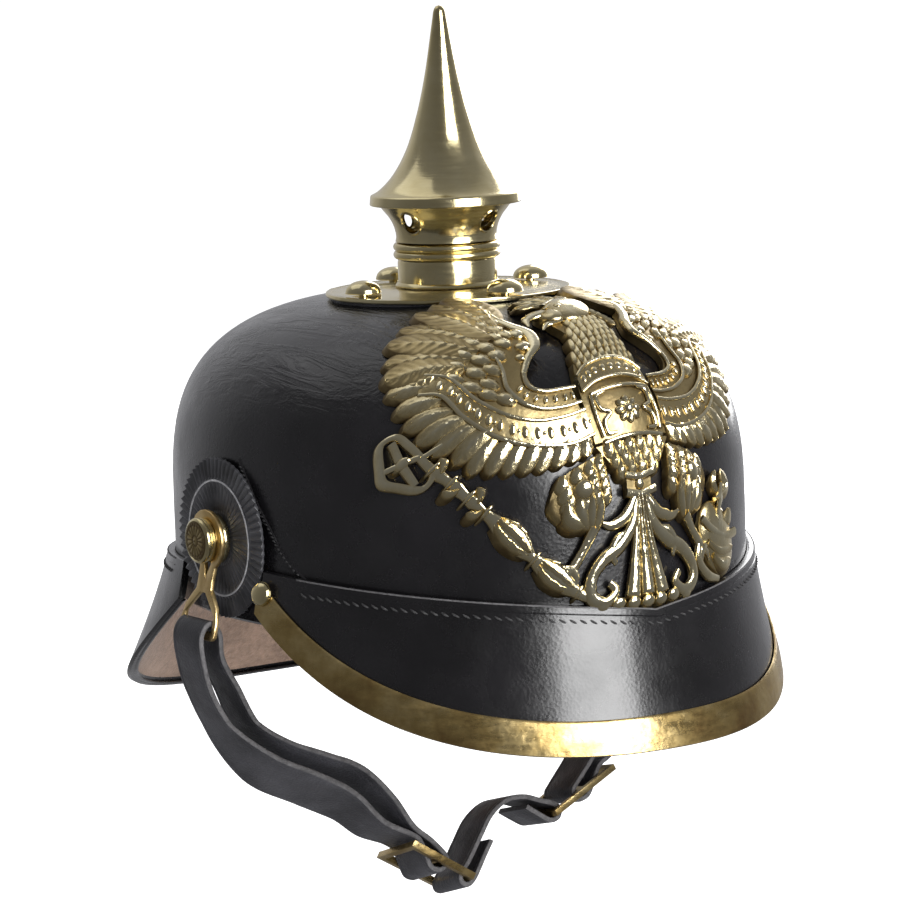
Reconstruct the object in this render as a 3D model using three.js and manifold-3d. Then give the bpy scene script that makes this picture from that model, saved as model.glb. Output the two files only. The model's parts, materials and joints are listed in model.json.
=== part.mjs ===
// A spiked leather parade helmet in millimetres.
// +Z is up, the front visor faces -Y and the wearer's right side is -X.
// The origin is the centre of the skull's rim, where the helmet sits on a head.
import * as THREE from 'three';
import { mergeVertices } from 'three/addons/utils/BufferGeometryUtils.js';
import Module from 'manifold-3d';

const wasm = await Module();
wasm.setup();

// ---- driving dimensions ---------------------------------------------------------

const fitGap = 0.3;
const leather = 3;
const skull = { halfWidth: 87.5, halfLength: 107.5, springHeight: 30, rise: 68.5, power: 3 };

const plate = { radius: 40.3, topHeight: 100, studRadius: 33, studHeight: 100.05, ventRadius: 12 };
const stud = { headRadius: 5.5, headHeight: 5, shankRadius: 1.6 };
const nut = { radius: 4.2, thickness: 2.4 };
const crownNutHeight = 90.4;

const neck = { radius: 16.3, height: 8.8, boreRadius: 10.5, spigotRadius: 13, spigotHeight: 9 };
const spike = { boreRadius: 13.2, beadRadius: 17.6, beadHeight: 5.6, rimRadius: 24.8 };
const spikeRimHeight = 127;
const spikeTipHeight = 191.3;
const vent = { radius: 3.6, height: 121.6, count: 4, firstAngle: 16.5 };

const brimThickness = 2.4;
const frontBrim = {
  facing: -1, halfAngle: 78, seamMiddle: 6.6, seamEnd: 18, edgeMiddle: -34.5, edgeEnd: 6,
  flareMiddle: 11.5, flareEnd: 6, flarePower: 2.5, edgePower: 3,
};
const rearBrim = {
  facing: 1, halfAngle: 74, seamMiddle: 8, seamEnd: 15, edgeMiddle: -49, edgeEnd: 3,
  flareMiddle: 29, flareEnd: 5, flarePower: 2, edgePower: 2.2,
};
const trim = { width: 10, lip: 4, skin: 0.8 };
const trimStud = { headRadius: 3.9, headHeight: 2.6, shankRadius: 1.5, side: 0.985, drop: 0.45 };

// The chin strap turns on a knob at each side; the knobs share this axis.
const knobAxis = { y: 2, height: 26.2 };
const cockade = { radius: 26, ringRadius: 18.5, back: 87.8, thickness: 1.8, boreRadius: 2.6 };
const bushing = { radius: 8.2, thickness: 2.4 };
const knob = { headRadius: 7.3, headHeight: 4, barrelRadius: 6.2, shankRadius: 2.1 };
const lug = {
  thickness: 1.6, eyeRadius: 9.7, eyeBore: 6.5, waistHalf: 4.2, loopHalf: 10.8, drop: 31, lean: 6, keyDepth: -12,
};

const strap = { width: 17, thickness: 1.8 };
const buckle = { length: 28, width: 22.4, rod: 2.2 };

const sweatband = { outer: 7.4, inner: 8.9, top: 34, bottom: 1 };
const liner = { outer: 9.2, inner: 10.4, bandBottom: 16, bandTop: 29, tongues: 10 };

// The badge is cut from a sheet bent over the front of the dome. Its outline is
// drawn on a plane that leans back by this angle, then pushed onto the dome.
const badgeLean = THREE.MathUtils.degToRad(35);
const badge = {
  centre: -3, back: -0.5, face: -2.3, postX: 36, postY: 22, postRadius: 1.6,
  postLength: 11, nutDepth: 5.8,
};

// ---- materials ------------------------------------------------------------------

function material(color, roughness, metalness) {
  return new THREE.MeshStandardMaterial({ color, roughness, metalness });
}

const brass = material(0xc9ad6a, 0.25, 1);
const agedBrass = material(0xa8874a, 0.45, 1);
const blackLeather = material(0x121113, 0.25, 0);
const strapLeather = material(0x26262a, 0.6, 0);
const brownLeather = material(0x6f5546, 0.85, 0);
const blackLacquer = material(0x17171a, 0.5, 0);
const linen = material(0xb8ab94, 0.9, 0);

// ---- solids ---------------------------------------------------------------------

/** Make a manifold solid from any closed three.js geometry. */
function solid(geometry) {
  const bare = geometry.clone();
  bare.deleteAttribute('normal');
  bare.deleteAttribute('uv');
  const merged = mergeVertices(bare, 1e-5);
  const triVerts = [];
  for (let i = 0; i < merged.index.count; i += 3) {
    const corners = [0, 1, 2].map((k) => merged.index.getX(i + k));
    if (new Set(corners).size === 3) triVerts.push(...corners);
  }
  const vertProperties = new Float32Array(merged.attributes.position.array);
  return new wasm.Manifold(
    new wasm.Mesh({ numProp: 3, vertProperties, triVerts: new Uint32Array(triVerts) }),
  );
}

/** Turn a manifold solid back into a geometry. */
function geometryOf(manifold) {
  const mesh = manifold.getMesh();
  const geometry = new THREE.BufferGeometry();
  geometry.setAttribute('position', new THREE.BufferAttribute(mesh.vertProperties, 3));
  geometry.setIndex(new THREE.BufferAttribute(mesh.triVerts, 1));
  geometry.computeVertexNormals();
  return geometry;
}

/** Six times the volume that a triangle list encloses, negative when it faces inwards. */
function signedVolume(points, faces) {
  return faces.reduce((sum, [a, b, c]) => sum + points[a].dot(points[b].clone().cross(points[c])), 0);
}

/**
 * A closed solid from cross-sections, each a loop of the same number of points.
 * A closed path joins the last section to the first; an open one gets end caps
 * between the loop's first half and its second half read backwards.
 */
function loft(sections, closedPath) {
  const loop = sections[0].length;
  const points = sections.flat();
  const faces = [];
  const quad = (a, b, c, d) => faces.push([a, b, c], [a, c, d]);
  const spans = closedPath ? sections.length : sections.length - 1;
  for (let i = 0; i < spans; i += 1) {
    const here = i * loop;
    const next = ((i + 1) % sections.length) * loop;
    for (let j = 0; j < loop; j += 1) {
      const along = (j + 1) % loop;
      quad(here + j, here + along, next + along, next + j);
    }
  }
  if (!closedPath) {
    const last = (sections.length - 1) * loop;
    for (let j = 0; j < loop / 2 - 1; j += 1) {
      quad(j, loop - 1 - j, loop - 2 - j, j + 1);
      quad(last + j, last + j + 1, last + loop - 2 - j, last + loop - 1 - j);
    }
  }
  if (signedVolume(points, faces) < 0) faces.forEach((face) => face.reverse());
  const geometry = new THREE.BufferGeometry().setFromPoints(points);
  geometry.setIndex(faces.flat());
  return geometry;
}

/** A turned solid about +Z from [radius, height] pairs. */
function turned(profile, segments) {
  const points = profile.map(([radius, height]) => new THREE.Vector2(radius, height));
  const geometry = new THREE.LatheGeometry(points, segments);
  geometry.rotateX(Math.PI / 2);
  const made = solid(geometry);
  if (made.volume() > 0) return made;
  return solid(new THREE.LatheGeometry(points.reverse(), segments).rotateX(Math.PI / 2));
}

/** Move a solid built along +Z so that its +Z points along direction from position. */
function placed(made, position, direction) {
  const turn = new THREE.Quaternion().setFromUnitVectors(new THREE.Vector3(0, 0, 1), direction);
  const matrix = new THREE.Matrix4().compose(position, turn, new THREE.Vector3(1, 1, 1));
  return made.transform(matrix.elements);
}

/** A rod along direction, centred on position. */
function rod(position, direction, radius, length, segments = 12) {
  const half = length / 2;
  const upright = turned([[0, -half], [radius, -half], [radius, half], [0, half]], segments);
  return placed(upright, position, direction);
}

function cut(made, tools) {
  return tools.reduce((left, tool) => left.subtract(tool), made);
}

function join(pieces) {
  return pieces.reduce((sum, piece) => sum.add(piece));
}

/** An extruded outline with through holes cut in it. */
function extruded(shape, depth, holes = [], curveSegments = 8) {
  const plain = (outline, height) => (
    solid(new THREE.ExtrudeGeometry(outline, { depth: height, bevelEnabled: false, curveSegments }))
  );
  const past = 1;
  const tools = holes.map((hole) => plain(hole, depth + 2 * past).translate([0, 0, -past]));
  return cut(plain(shape, depth), tools);
}

const outline = (points) => new THREE.Shape(points.map(([x, y]) => new THREE.Vector2(x, y)));

const helmet = new THREE.Group();

function addPart(name, made, look) {
  const mesh = new THREE.Mesh(geometryOf(made), look);
  mesh.name = name;
  helmet.add(mesh);
  return mesh;
}

const sides = [['right', -1], ['left', 1]];
const range = (count) => Array.from({ length: count }, (_, i) => i);
const lerp = THREE.MathUtils.lerp;

// ---- skull ----------------------------------------------------------------------

/** A point of the skull's wall. Angle 0 is the front, and inset runs inwards from the outer face. */
function wallPoint(angle, height, inset) {
  const x = (skull.halfWidth - inset) * Math.sin(angle);
  const y = -(skull.halfLength - inset) * Math.cos(angle);
  return new THREE.Vector3(x, y, height);
}

/** A point of the dome. Lift runs from 0 at the spring line to a right angle at the crown. */
function domePoint(angle, lift, inset) {
  const shrink = Math.cos(lift) ** (2 / skull.power);
  const point = wallPoint(angle, 0, inset).multiplyScalar(shrink);
  point.z = skull.springHeight + (skull.rise - inset) * Math.sin(lift) ** (2 / skull.power);
  return point;
}

function outwardOnDome(angle, lift) {
  const step = 0.01;
  const around = domePoint(angle + step, lift, 0).sub(domePoint(angle - step, lift, 0));
  const upward = domePoint(angle, lift + step, 0).sub(domePoint(angle, lift - step, 0));
  return around.cross(upward).normalize();
}

function skullShell() {
  const wallHeights = [0, 15];
  const lifts = [0, 16, 30, 43, 55, 66, 76, 83, 87].map(THREE.MathUtils.degToRad);
  const profile = (angle, inset) => [
    ...wallHeights.map((height) => wallPoint(angle, height, inset)),
    ...lifts.map((lift) => domePoint(angle, lift, inset)),
  ];
  const segments = 36;
  const sections = range(segments).map((i) => {
    const angle = (i / segments) * 2 * Math.PI;
    return [...profile(angle, 0), ...profile(angle, leather).reverse()];
  });
  return solid(loft(sections, true));
}

// ---- badge plane ----------------------------------------------------------------

const badgeUp = new THREE.Vector3(0, Math.sin(badgeLean), Math.cos(badgeLean));
const badgeOut = new THREE.Vector3(0, -Math.cos(badgeLean), Math.sin(badgeLean));

/** Positive outside the skull offset by inset, negative inside it. */
function outsideSkull(point, inset) {
  const reach = Math.hypot(point.x / (skull.halfWidth - inset), point.y / (skull.halfLength - inset));
  const climb = Math.max(point.z - skull.springHeight, 0) / (skull.rise - inset);
  return reach ** skull.power + climb ** skull.power - 1;
}

/** The point of the offset skull straight behind (x, y) of the leaning badge plane. */
function badgePoint(x, y, inset) {
  const base = new THREE.Vector3(x, 0, 0).addScaledVector(badgeUp, y);
  let near = 0;
  let far = 200;
  for (let i = 0; i < 40; i += 1) {
    const middle = (near + far) / 2;
    const probe = base.clone().addScaledVector(badgeOut, middle);
    if (outsideSkull(probe, inset) < 0) near = middle;
    else far = middle;
  }
  return base.addScaledVector(badgeOut, near);
}

/** The curved sheet that the badge is cut from. */
function badgeSheet() {
  const columns = 16;
  const rows = 13;
  const sections = range(columns + 1).map((i) => {
    const x = lerp(-75, 72, i / columns);
    const side = (inset) => range(rows + 1).map((j) => badgePoint(x, lerp(-60, 70, j / rows), inset));
    return [...side(badge.back), ...side(badge.face).reverse()];
  });
  return solid(loft(sections, false));
}

/** An outline in badge coordinates, extruded through the sheet. */
function badgeOutline(points, holes = []) {
  const basis = new THREE.Matrix4().makeBasis(new THREE.Vector3(1, 0, 0), badgeUp, badgeOut);
  const made = extruded(outline(points), 200, holes.map(outline)).transform(basis.elements);
  return made.translate([badge.centre, 0, 0]);
}

const mirrored = (points) => points.map(([x, y]) => [-x, y]).reverse();

function badgeSolid() {
  const wing = [
    [14, -15], [22, -13], [31, -15], [35, -12], [42, -11], [47, -7], [54, -2], [55, 3], [60, 3],
    [62, 13], [61, 20], [60, 27], [56, 34], [53, 42], [47, 47], [40, 54], [32, 56], [25, 59],
    [18, 57], [14, 55], [19, 50], [23, 44], [20, 37], [21, 26], [28, 13], [26, 9], [14, 7],
  ];
  const body = [
    [-19, -15], [-18, 8], [-10, 18], [-6, 28], [-12, 33], [-13, 39], [-6, 42], [-2, 49], [6, 53],
    [12, 48], [12, 36], [9, 24], [11, 12], [18, 8], [19, -15], [8, -27], [-8, -27],
  ];
  const leg = [
    [10, -14], [18, -16], [27, -18], [32, -24], [29, -30], [22, -36], [26, -43], [22, -46],
    [16, -38], [11, -34], [9, -25],
  ];
  const tail = [
    [7, -24], [8, -30], [14, -36], [20, -43], [20, -49], [14, -52.5], [6, -54.5], [-6, -54.5],
    [-13, -52.5], [-19, -49], [-20, -43], [-14, -36], [-8, -30], [-7, -24],
  ];
  const tailGap = [[6, -36], [13, -42], [14, -48], [9, -50], [5, -50]];
  const sceptre = [
    [-68, 8], [-64, 12], [-60, 7], [-57, 1], [-46, -19], [-38, -31], [-30, -37], [-21, -46.5], [-17, -49.6],
    [-24, -50.4], [-34, -44.5], [-43, -34], [-50, -21], [-60, -5], [-67, -1],
  ];
  const orb = [
    [22, -34], [25, -29], [33, -26], [38, -20], [40, -28], [42, -36], [40, -43], [32, -48], [24, -46],
    [21, -41],
  ];
  const outlines = [
    badgeOutline(wing), badgeOutline(mirrored(wing)), badgeOutline(body), badgeOutline(leg),
    badgeOutline(mirrored(leg)), badgeOutline(tail, [mirrored(tailGap), tailGap]),
    badgeOutline(sceptre), badgeOutline(orb),
  ];
  return badgeSheet().intersect(join(outlines));
}

const badgePosts = [-1, 1].map((side) => (
  badgePoint(badge.centre + side * badge.postX, badge.postY, leather)
));

// ---- brims ----------------------------------------------------------------------

/**
 * A point of a brim. Side runs from -1 to 1 around the skull, drop from 0 at the seam to 1
 * at the edge, and depth is measured outwards from the brim's outer face.
 */
function brimPoint(brim, side, drop, depth) {
  const away = Math.abs(side);
  const angle = side * THREE.MathUtils.degToRad(brim.halfAngle);
  const seam = lerp(brim.seamMiddle, brim.seamEnd, away ** 0.8);
  const edge = lerp(brim.edgeMiddle, brim.edgeEnd, away ** brim.edgePower);
  const flare = lerp(brim.flareMiddle, brim.flareEnd, away ** brim.flarePower);
  const hug = fitGap + brimThickness;
  const out = hug + (flare - hug) * drop ** 1.2 + depth;
  const point = wallPoint(angle, lerp(seam, edge, drop), 0);
  const normal = new THREE.Vector3(Math.sin(angle) / skull.halfWidth, -Math.cos(angle) / skull.halfLength, 0);
  point.addScaledVector(normal.normalize(), out);
  if (brim.facing > 0) point.y *= -1;
  return point;
}

function brimLength(brim, side) {
  return brimPoint(brim, side, 0, 0).distanceTo(brimPoint(brim, side, 1, 0));
}

function brimSolid(brim) {
  const drops = [0, 0.25, 0.5, 0.75, 1];
  const steps = 30;
  const sections = range(steps + 1).map((i) => {
    const side = lerp(-1, 1, i / steps);
    return [
      ...drops.map((drop) => brimPoint(brim, side, drop, 0)),
      ...drops.map((drop) => brimPoint(brim, side, drop, -brimThickness)).reverse(),
    ];
  });
  return solid(loft(sections, false));
}

/** The brass channel folded over the front brim's edge. */
function trimSolid() {
  const steps = 30;
  const skinOuter = fitGap + trim.skin;
  const sections = range(steps + 1).map((i) => {
    const side = lerp(-1, 1, i / steps);
    const length = brimLength(frontBrim, side);
    const width = Math.min(trim.width, 0.72 * length);
    const at = (above, depth) => brimPoint(frontBrim, side, 1 - above / length, depth);
    const inside = -brimThickness;
    return [
      at(width, skinOuter), at(-skinOuter, skinOuter), at(-skinOuter, inside - skinOuter),
      at(trim.lip, inside - skinOuter), at(trim.lip, inside - fitGap), at(-fitGap, inside - fitGap),
      at(-fitGap, fitGap), at(width, fitGap),
    ];
  });
  return solid(loft(sections, false));
}

// ---- fasteners ------------------------------------------------------------------

function domeScrew(headRadius, headHeight, shankRadius, shankLength, segments = 14) {
  const rise = [0, 30, 60].map(THREE.MathUtils.degToRad);
  const dome = rise.map((a) => [headRadius * Math.cos(a), headHeight * Math.sin(a)]);
  const shank = [[0, -shankLength], [shankRadius, -shankLength], [shankRadius, 0]];
  return turned([...shank, ...dome, [0, headHeight]], segments);
}

function ringNut(boreRadius) {
  const { radius, thickness } = nut;
  const corners = [[boreRadius, 0], [radius, 0], [radius, thickness], [boreRadius, thickness]];
  return turned([...corners, corners[0]], 8);
}

const up = new THREE.Vector3(0, 0, 1);
const shankClearance = 0.35;

const plateStuds = range(4).map((i) => {
  const angle = (i * Math.PI) / 2;
  const [x, y] = [plate.studRadius * Math.sin(angle), -plate.studRadius * Math.cos(angle)];
  return new THREE.Vector3(x, y, plate.studHeight);
});

const spine = { halfWidth: 4.5, back: -0.4, face: -1.2, bottom: 10, topLift: 1.3 };
const spineRivet = {
  headRadius: 3.2, headHeight: 1.8, shankRadius: 1.2, seat: 1.4, low: 17, upperLift: 1.02,
};
const spineRivets = [
  { position: wallPoint(Math.PI, spineRivet.low, -spineRivet.seat), direction: new THREE.Vector3(0, 1, 0) },
  {
    position: domePoint(Math.PI, spineRivet.upperLift, -spineRivet.seat),
    direction: outwardOnDome(Math.PI, spineRivet.upperLift),
  },
];

const trimStuds = sides.map(([name, side]) => {
  const along = side * trimStud.side;
  const above = fitGap + trim.skin + 0.4;
  const position = brimPoint(frontBrim, along, trimStud.drop, above);
  const around = brimPoint(frontBrim, along + 0.01, trimStud.drop, above).sub(position);
  const down = brimPoint(frontBrim, along, trimStud.drop + 0.05, above).sub(position);
  return { name, position, normal: down.cross(around).normalize() };
});

const knobSide = (side, x) => new THREE.Vector3(side * x, knobAxis.y, knobAxis.height);
const sideways = (side) => new THREE.Vector3(side, 0, 0);

// ---- build: skull, brims and trim -----------------------------------------------

const skullHoles = [
  ...plateStuds.map((stand) => rod(stand, up, stud.shankRadius + shankClearance, 40, 10)),
  ...badgePosts.map((post) => rod(post, badgeOut, badge.postRadius + shankClearance, 24, 10)),
  ...spineRivets.map(({ position, direction }) => (
    rod(position, direction, spineRivet.shankRadius + shankClearance, 16, 10)
  )),
  ...sides.map(([, side]) => (
    rod(knobSide(side, 86), sideways(side), knob.shankRadius + shankClearance, 20, 10)
  )),
  rod(new THREE.Vector3(0, 0, 97), up, plate.ventRadius, 20, 24),
];
addPart('skull_shell', cut(skullShell(), skullHoles), blackLeather);

const trimStudHoles = trimStuds.map(({ position, normal }) => (
  rod(position, normal, trimStud.shankRadius + shankClearance, 12, 10)
));
const cockadeRoom = sides.map(([, side]) => (
  rod(knobSide(side, 92), sideways(side), cockade.radius + fitGap, 20, 36)
));
addPart('front_visor', cut(brimSolid(frontBrim), [...trimStudHoles, ...cockadeRoom]), blackLeather);
addPart('rear_visor', cut(brimSolid(rearBrim), cockadeRoom), blackLeather);
addPart('visor_trim', cut(trimSolid(), [...trimStudHoles, ...cockadeRoom]), agedBrass);
trimStuds.forEach(({ name, position, normal }) => {
  const screw = domeScrew(trimStud.headRadius, trimStud.headHeight, trimStud.shankRadius, 3.4);
  addPart(`trim_stud_${name}`, placed(screw, position, normal), brass);
});

// ---- build: crown plate and spike -----------------------------------------------

const plateTop = plate.topHeight;
const plateProfile = [
  [plate.ventRadius, plateTop], [30, 99.6], [37.5, 98.9], [39.6, 99.3], [plate.radius, 98.4],
  [39.6, 97.5], [38.4, 97.6], [30, 98.4], [plate.ventRadius, 98.8], [plate.ventRadius, plateTop],
];
const plateHoles = plateStuds.map((stand) => rod(stand, up, stud.shankRadius + shankClearance, 20, 10));
addPart('base_plate', cut(turned(plateProfile, 36), plateHoles), brass);

plateStuds.forEach((stand, i) => {
  const screw = domeScrew(stud.headRadius, stud.headHeight, stud.shankRadius, 10.5);
  addPart(`base_stud_${i + 1}`, placed(screw, stand, up), brass);
  const under = stand.clone().setZ(crownNutHeight);
  addPart(`base_nut_${i + 1}`, placed(ringNut(stud.shankRadius + shankClearance), under, up), agedBrass);
});

const neckBottom = plateTop + fitGap;
const neckTop = plateTop + neck.height;
const spigotTop = neckTop + neck.spigotHeight;
addPart('spike_neck', turned([
  [neck.boreRadius, neckBottom], [neck.radius + 0.6, neckBottom], [neck.radius, neckBottom + 1.2],
  [neck.radius, neckTop], [neck.spigotRadius, neckTop], [neck.spigotRadius, spigotTop],
  [neck.boreRadius, spigotTop], [neck.boreRadius, neckBottom],
], 24), brass);

const beadBottom = neckTop + fitGap;
const beadTop = beadBottom + spike.beadHeight;
const beadMiddle = (beadBottom + beadTop) / 2;
const beadWaist = spike.beadRadius - 1.1;
addPart('bead_ring', turned([
  [spike.boreRadius, beadBottom], [beadWaist, beadBottom], [spike.beadRadius, beadBottom + 1.3],
  [beadWaist + 0.3, beadMiddle], [spike.beadRadius, beadTop - 1.3], [beadWaist, beadTop],
  [spike.boreRadius, beadTop], [spike.boreRadius, beadBottom],
], 24), brass);

const collarBottom = beadTop + fitGap;
const collarTop = spikeRimHeight - fitGap;
const collarOuter = [
  [16.8, collarBottom], [16.7, 117.6], [17.3, 120.2], [18.6, 122.8], [20.6, 125.1], [21.6, collarTop],
];
const collarInner = [
  [19.8, collarTop], [17, 122.8], [15.4, 120.2], [spike.boreRadius, 118.6], [spike.boreRadius, collarBottom],
];
const ventAngles = range(vent.count).map((i) => (
  THREE.MathUtils.degToRad(vent.firstAngle) + (i * 2 * Math.PI) / vent.count
));
const ventHoles = ventAngles.map((angle) => {
  const out = new THREE.Vector3(Math.sin(angle), -Math.cos(angle), 0);
  return rod(out.clone().multiplyScalar(19).setZ(vent.height), out, vent.radius, 14, 12);
});
const collarLoop = [...collarOuter, ...collarInner, collarOuter[0]];
addPart('spike_collar', cut(turned(collarLoop, 24), ventHoles), brass);

const coneOuter = [
  [0, spikeTipHeight], [1.4, 190.6], [2.1, 188.5], [5.4, 169], [8.4, 156], [12.2, 144.5],
  [17.2, 136], [22.8, 131], [spike.rimRadius, 130], [spike.rimRadius, 127.8], [23.9, spikeRimHeight],
];
const coneInner = [[20.8, spikeRimHeight], [20.6, 130], [10.6, 144.5], [3.6, 169], [0, 178]];
addPart('spike_cone', turned([...coneOuter, ...coneInner], 24), brass);

// ---- build: badge and rear spine ------------------------------------------------

const badgeStems = badgePosts.map((post) => {
  const middle = post.clone().addScaledVector(badgeOut, 4.1 - badge.postLength / 2);
  return rod(middle, badgeOut, badge.postRadius, badge.postLength, 10);
});
addPart('front_badge', join([badgeSolid(), ...badgeStems]), brass);
sides.forEach(([name], i) => {
  const seat = badgePosts[i].clone().addScaledVector(badgeOut, -badge.nutDepth);
  addPart(`badge_nut_${name}`, placed(ringNut(badge.postRadius + shankClearance), seat, badgeOut), agedBrass);
});

const spineLine = (inset) => [
  wallPoint(Math.PI, spine.bottom, inset),
  wallPoint(Math.PI, 26, inset),
  ...range(13).map((i) => domePoint(Math.PI, lerp(0, spine.topLift, i / 12), inset)),
];
const spineBack = spineLine(spine.back);
const spineFace = spineLine(spine.face);
const spineSections = spineBack.map((back, i) => [
  back.clone().setX(-spine.halfWidth), back.clone().setX(spine.halfWidth),
  spineFace[i].clone().setX(spine.halfWidth), spineFace[i].clone().setX(-spine.halfWidth),
]);
const spineHoles = spineRivets.map(({ position, direction }) => (
  rod(position, direction, spineRivet.shankRadius + shankClearance, 8, 10)
));
addPart('rear_spine', cut(solid(loft(spineSections, false)), spineHoles), brass);
spineRivets.forEach(({ position, direction }, i) => {
  const rivet = domeScrew(spineRivet.headRadius, spineRivet.headHeight, spineRivet.shankRadius, 4.2, 12);
  addPart(`spine_rivet_${i + 1}`, placed(rivet, position, direction), brass);
});

// ---- build: cockades, knobs and lugs --------------------------------------------

const cockadeFace = cockade.thickness;
const cockadeProfile = [
  [cockade.boreRadius, 0], [cockade.radius - 0.4, 0], [cockade.radius, 0.7], [cockade.radius - 0.8, 1.2],
  [cockade.ringRadius + 0.8, cockadeFace - 0.3], [cockade.ringRadius, cockadeFace + 0.4],
  [cockade.ringRadius - 0.8, cockadeFace - 0.3], [9, cockadeFace], [cockade.boreRadius, cockadeFace],
  [cockade.boreRadius, 0],
];
const cockadeTop = cockade.back + cockadeFace + fitGap;
const bushingTop = cockadeTop + bushing.thickness;
const lugBack = bushingTop + fitGap;
const lugFace = lugBack + lug.thickness;
const knobHeadBack = lugFace + fitGap;
const knobNutBack = 81.5;
const knobEnd = 81;

/** The flat hourglass outline of a lug, in front-to-back and height coordinates. */
function lugOutline() {
  const { y: axisY, height } = knobAxis;
  const shape = new THREE.Shape();
  const neckAngle = THREE.MathUtils.degToRad(27);
  shape.absarc(axisY, height, lug.eyeRadius, neckAngle - Math.PI / 2, 1.5 * Math.PI - neckAngle);
  const right = [
    [lug.waistHalf, -13.2], [4.4, -15.6], [9.4, -21], [lug.loopHalf, -25], [lug.loopHalf, -30],
    [lug.loopHalf - 1, -lug.drop],
  ];
  const left = right.map(([y, z]) => [-y, z]);
  [...left, ...right.reverse()].forEach(([y, z]) => shape.lineTo(axisY + y, height + z));
  const bore = new THREE.Shape();
  bore.absarc(axisY, height, lug.eyeBore, neckAngle - Math.PI / 2, 1.5 * Math.PI - neckAngle);
  bore.lineTo(axisY, height + lug.keyDepth);
  const slotTop = -16.8;
  const slotSide = lug.loopHalf - 1.9;
  const slotBottom = 2.6 - lug.drop;
  const slot = [
    [-1.5, slotTop], [1.5, slotTop], [slotSide, -23.4], [slotSide, slotBottom],
    [-slotSide, slotBottom], [-slotSide, -23.4],
  ];
  return { shape, holes: [bore, outline(slot.map(([y, z]) => [axisY + y, height + z]))] };
}

/** A lug bent outwards below its eye: the outline cut from a bent strip. */
function lugSolid(side) {
  const { shape, holes } = lugOutline();
  const flat = extruded(shape, 40, holes);
  const upright = new THREE.Matrix4().makeBasis(
    new THREE.Vector3(0, 1, 0), new THREE.Vector3(0, 0, 1), new THREE.Vector3(1, 0, 0),
  );
  const facing = flat.transform(upright.elements).translate([80, 0, 0]);
  const bendTop = knobAxis.height - lug.eyeRadius + 1.6;
  const bendBottom = knobAxis.height - lug.drop - 2;
  const centre = [[lugBack, knobAxis.height + 10], [lugBack, bendTop], [lugBack + lug.lean, bendBottom]];
  const edge = [...centre, ...centre.map(([x, z]) => [x + lug.thickness, z]).reverse()];
  const across = new THREE.Matrix4().makeBasis(
    new THREE.Vector3(1, 0, 0), new THREE.Vector3(0, 0, 1), new THREE.Vector3(0, -1, 0),
  );
  const bent = extruded(outline(edge), 60).transform(across.elements).translate([0, 30, 0]);
  const made = facing.intersect(bent);
  return side > 0 ? made : made.mirror([1, 0, 0]);
}

sides.forEach(([name, side]) => {
  const out = sideways(side);
  const disc = placed(turned(cockadeProfile, 24), knobSide(side, cockade.back), out);
  addPart(`cockade_${name}`, disc, blackLacquer);
  const ring = turned([
    [cockade.boreRadius, 0], [bushing.radius, 0], [bushing.radius, bushing.thickness],
    [cockade.boreRadius, bushing.thickness], [cockade.boreRadius, 0],
  ], 20);
  addPart(`knob_bushing_${name}`, placed(ring, knobSide(side, cockadeTop), out), brass);
  const barrelBottom = bushingTop + fitGap - knobHeadBack;
  const screw = turned([
    [0, knobEnd - knobHeadBack], [knob.shankRadius, knobEnd - knobHeadBack], [knob.shankRadius, barrelBottom],
    [knob.barrelRadius, barrelBottom], [knob.barrelRadius, 0], [knob.headRadius, 0],
    [knob.headRadius, knob.headHeight - 0.8], [knob.headRadius - 0.8, knob.headHeight],
    [3.2, knob.headHeight], [0, knob.headHeight + 0.5],
  ], 16);
  addPart(`strap_knob_${name}`, placed(screw, knobSide(side, knobHeadBack), out), brass);
  const seat = knobSide(side, knobNutBack);
  addPart(`knob_nut_${name}`, placed(ringNut(knob.shankRadius + shankClearance), seat, out), agedBrass);
  addPart(`strap_lug_${name}`, lugSolid(side), brass);
});

// ---- build: chin strap ----------------------------------------------------------

const strapY = knobAxis.y;

// The chin strap hangs askew. Its front edge rises towards the chin, most of all where the
// wearer's right side sags. Rises are per millimetre of the strap's width.
const strapTwist = {
  top: -25, full: -50, atRight: 0.36, atLeft: 0.22, sag: 0.35, sagHeight: -58, sagReach: 24,
};
const shareOf = (value, from, to) => THREE.MathUtils.clamp((value - from) / (to - from), 0, 1);

function frontRise(x, z) {
  const { atRight: right, atLeft: left, sag, sagHeight, sagReach } = strapTwist;
  const chin = lerp(right, left, shareOf(x, -15, 43)) * shareOf(z, strapTwist.top, strapTwist.full);
  const bulge = sag * Math.max(0, 1 - ((z - sagHeight) / sagReach) ** 2);
  return chin + bulge * shareOf(x, -15, -50);
}

const twisted = (made) => made.warp((point) => {
  point[2] -= (point[1] - strapY) * frontRise(point[0], point[2]);
});

/** A strip of strap that follows points [x, z] of its middle line, level across its width. */
function strapStrip(route, closed, steps) {
  const curve = new THREE.CatmullRomCurve3(route.map(([x, z]) => new THREE.Vector3(x, strapY, z)), closed);
  const count = closed ? steps : steps + 1;
  const sections = range(count).map((i) => {
    const share = i / steps;
    const middle = curve.getPointAt(share);
    const along = curve.getTangentAt(share);
    const normal = new THREE.Vector3(-along.z, 0, along.x).multiplyScalar(strap.thickness / 2);
    const half = new THREE.Vector3(0, strap.width / 2, 0);
    return [
      middle.clone().add(normal).sub(half), middle.clone().add(normal).add(half),
      middle.clone().sub(normal).add(half), middle.clone().sub(normal).sub(half),
    ];
  });
  return solid(loft(sections, closed));
}

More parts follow.
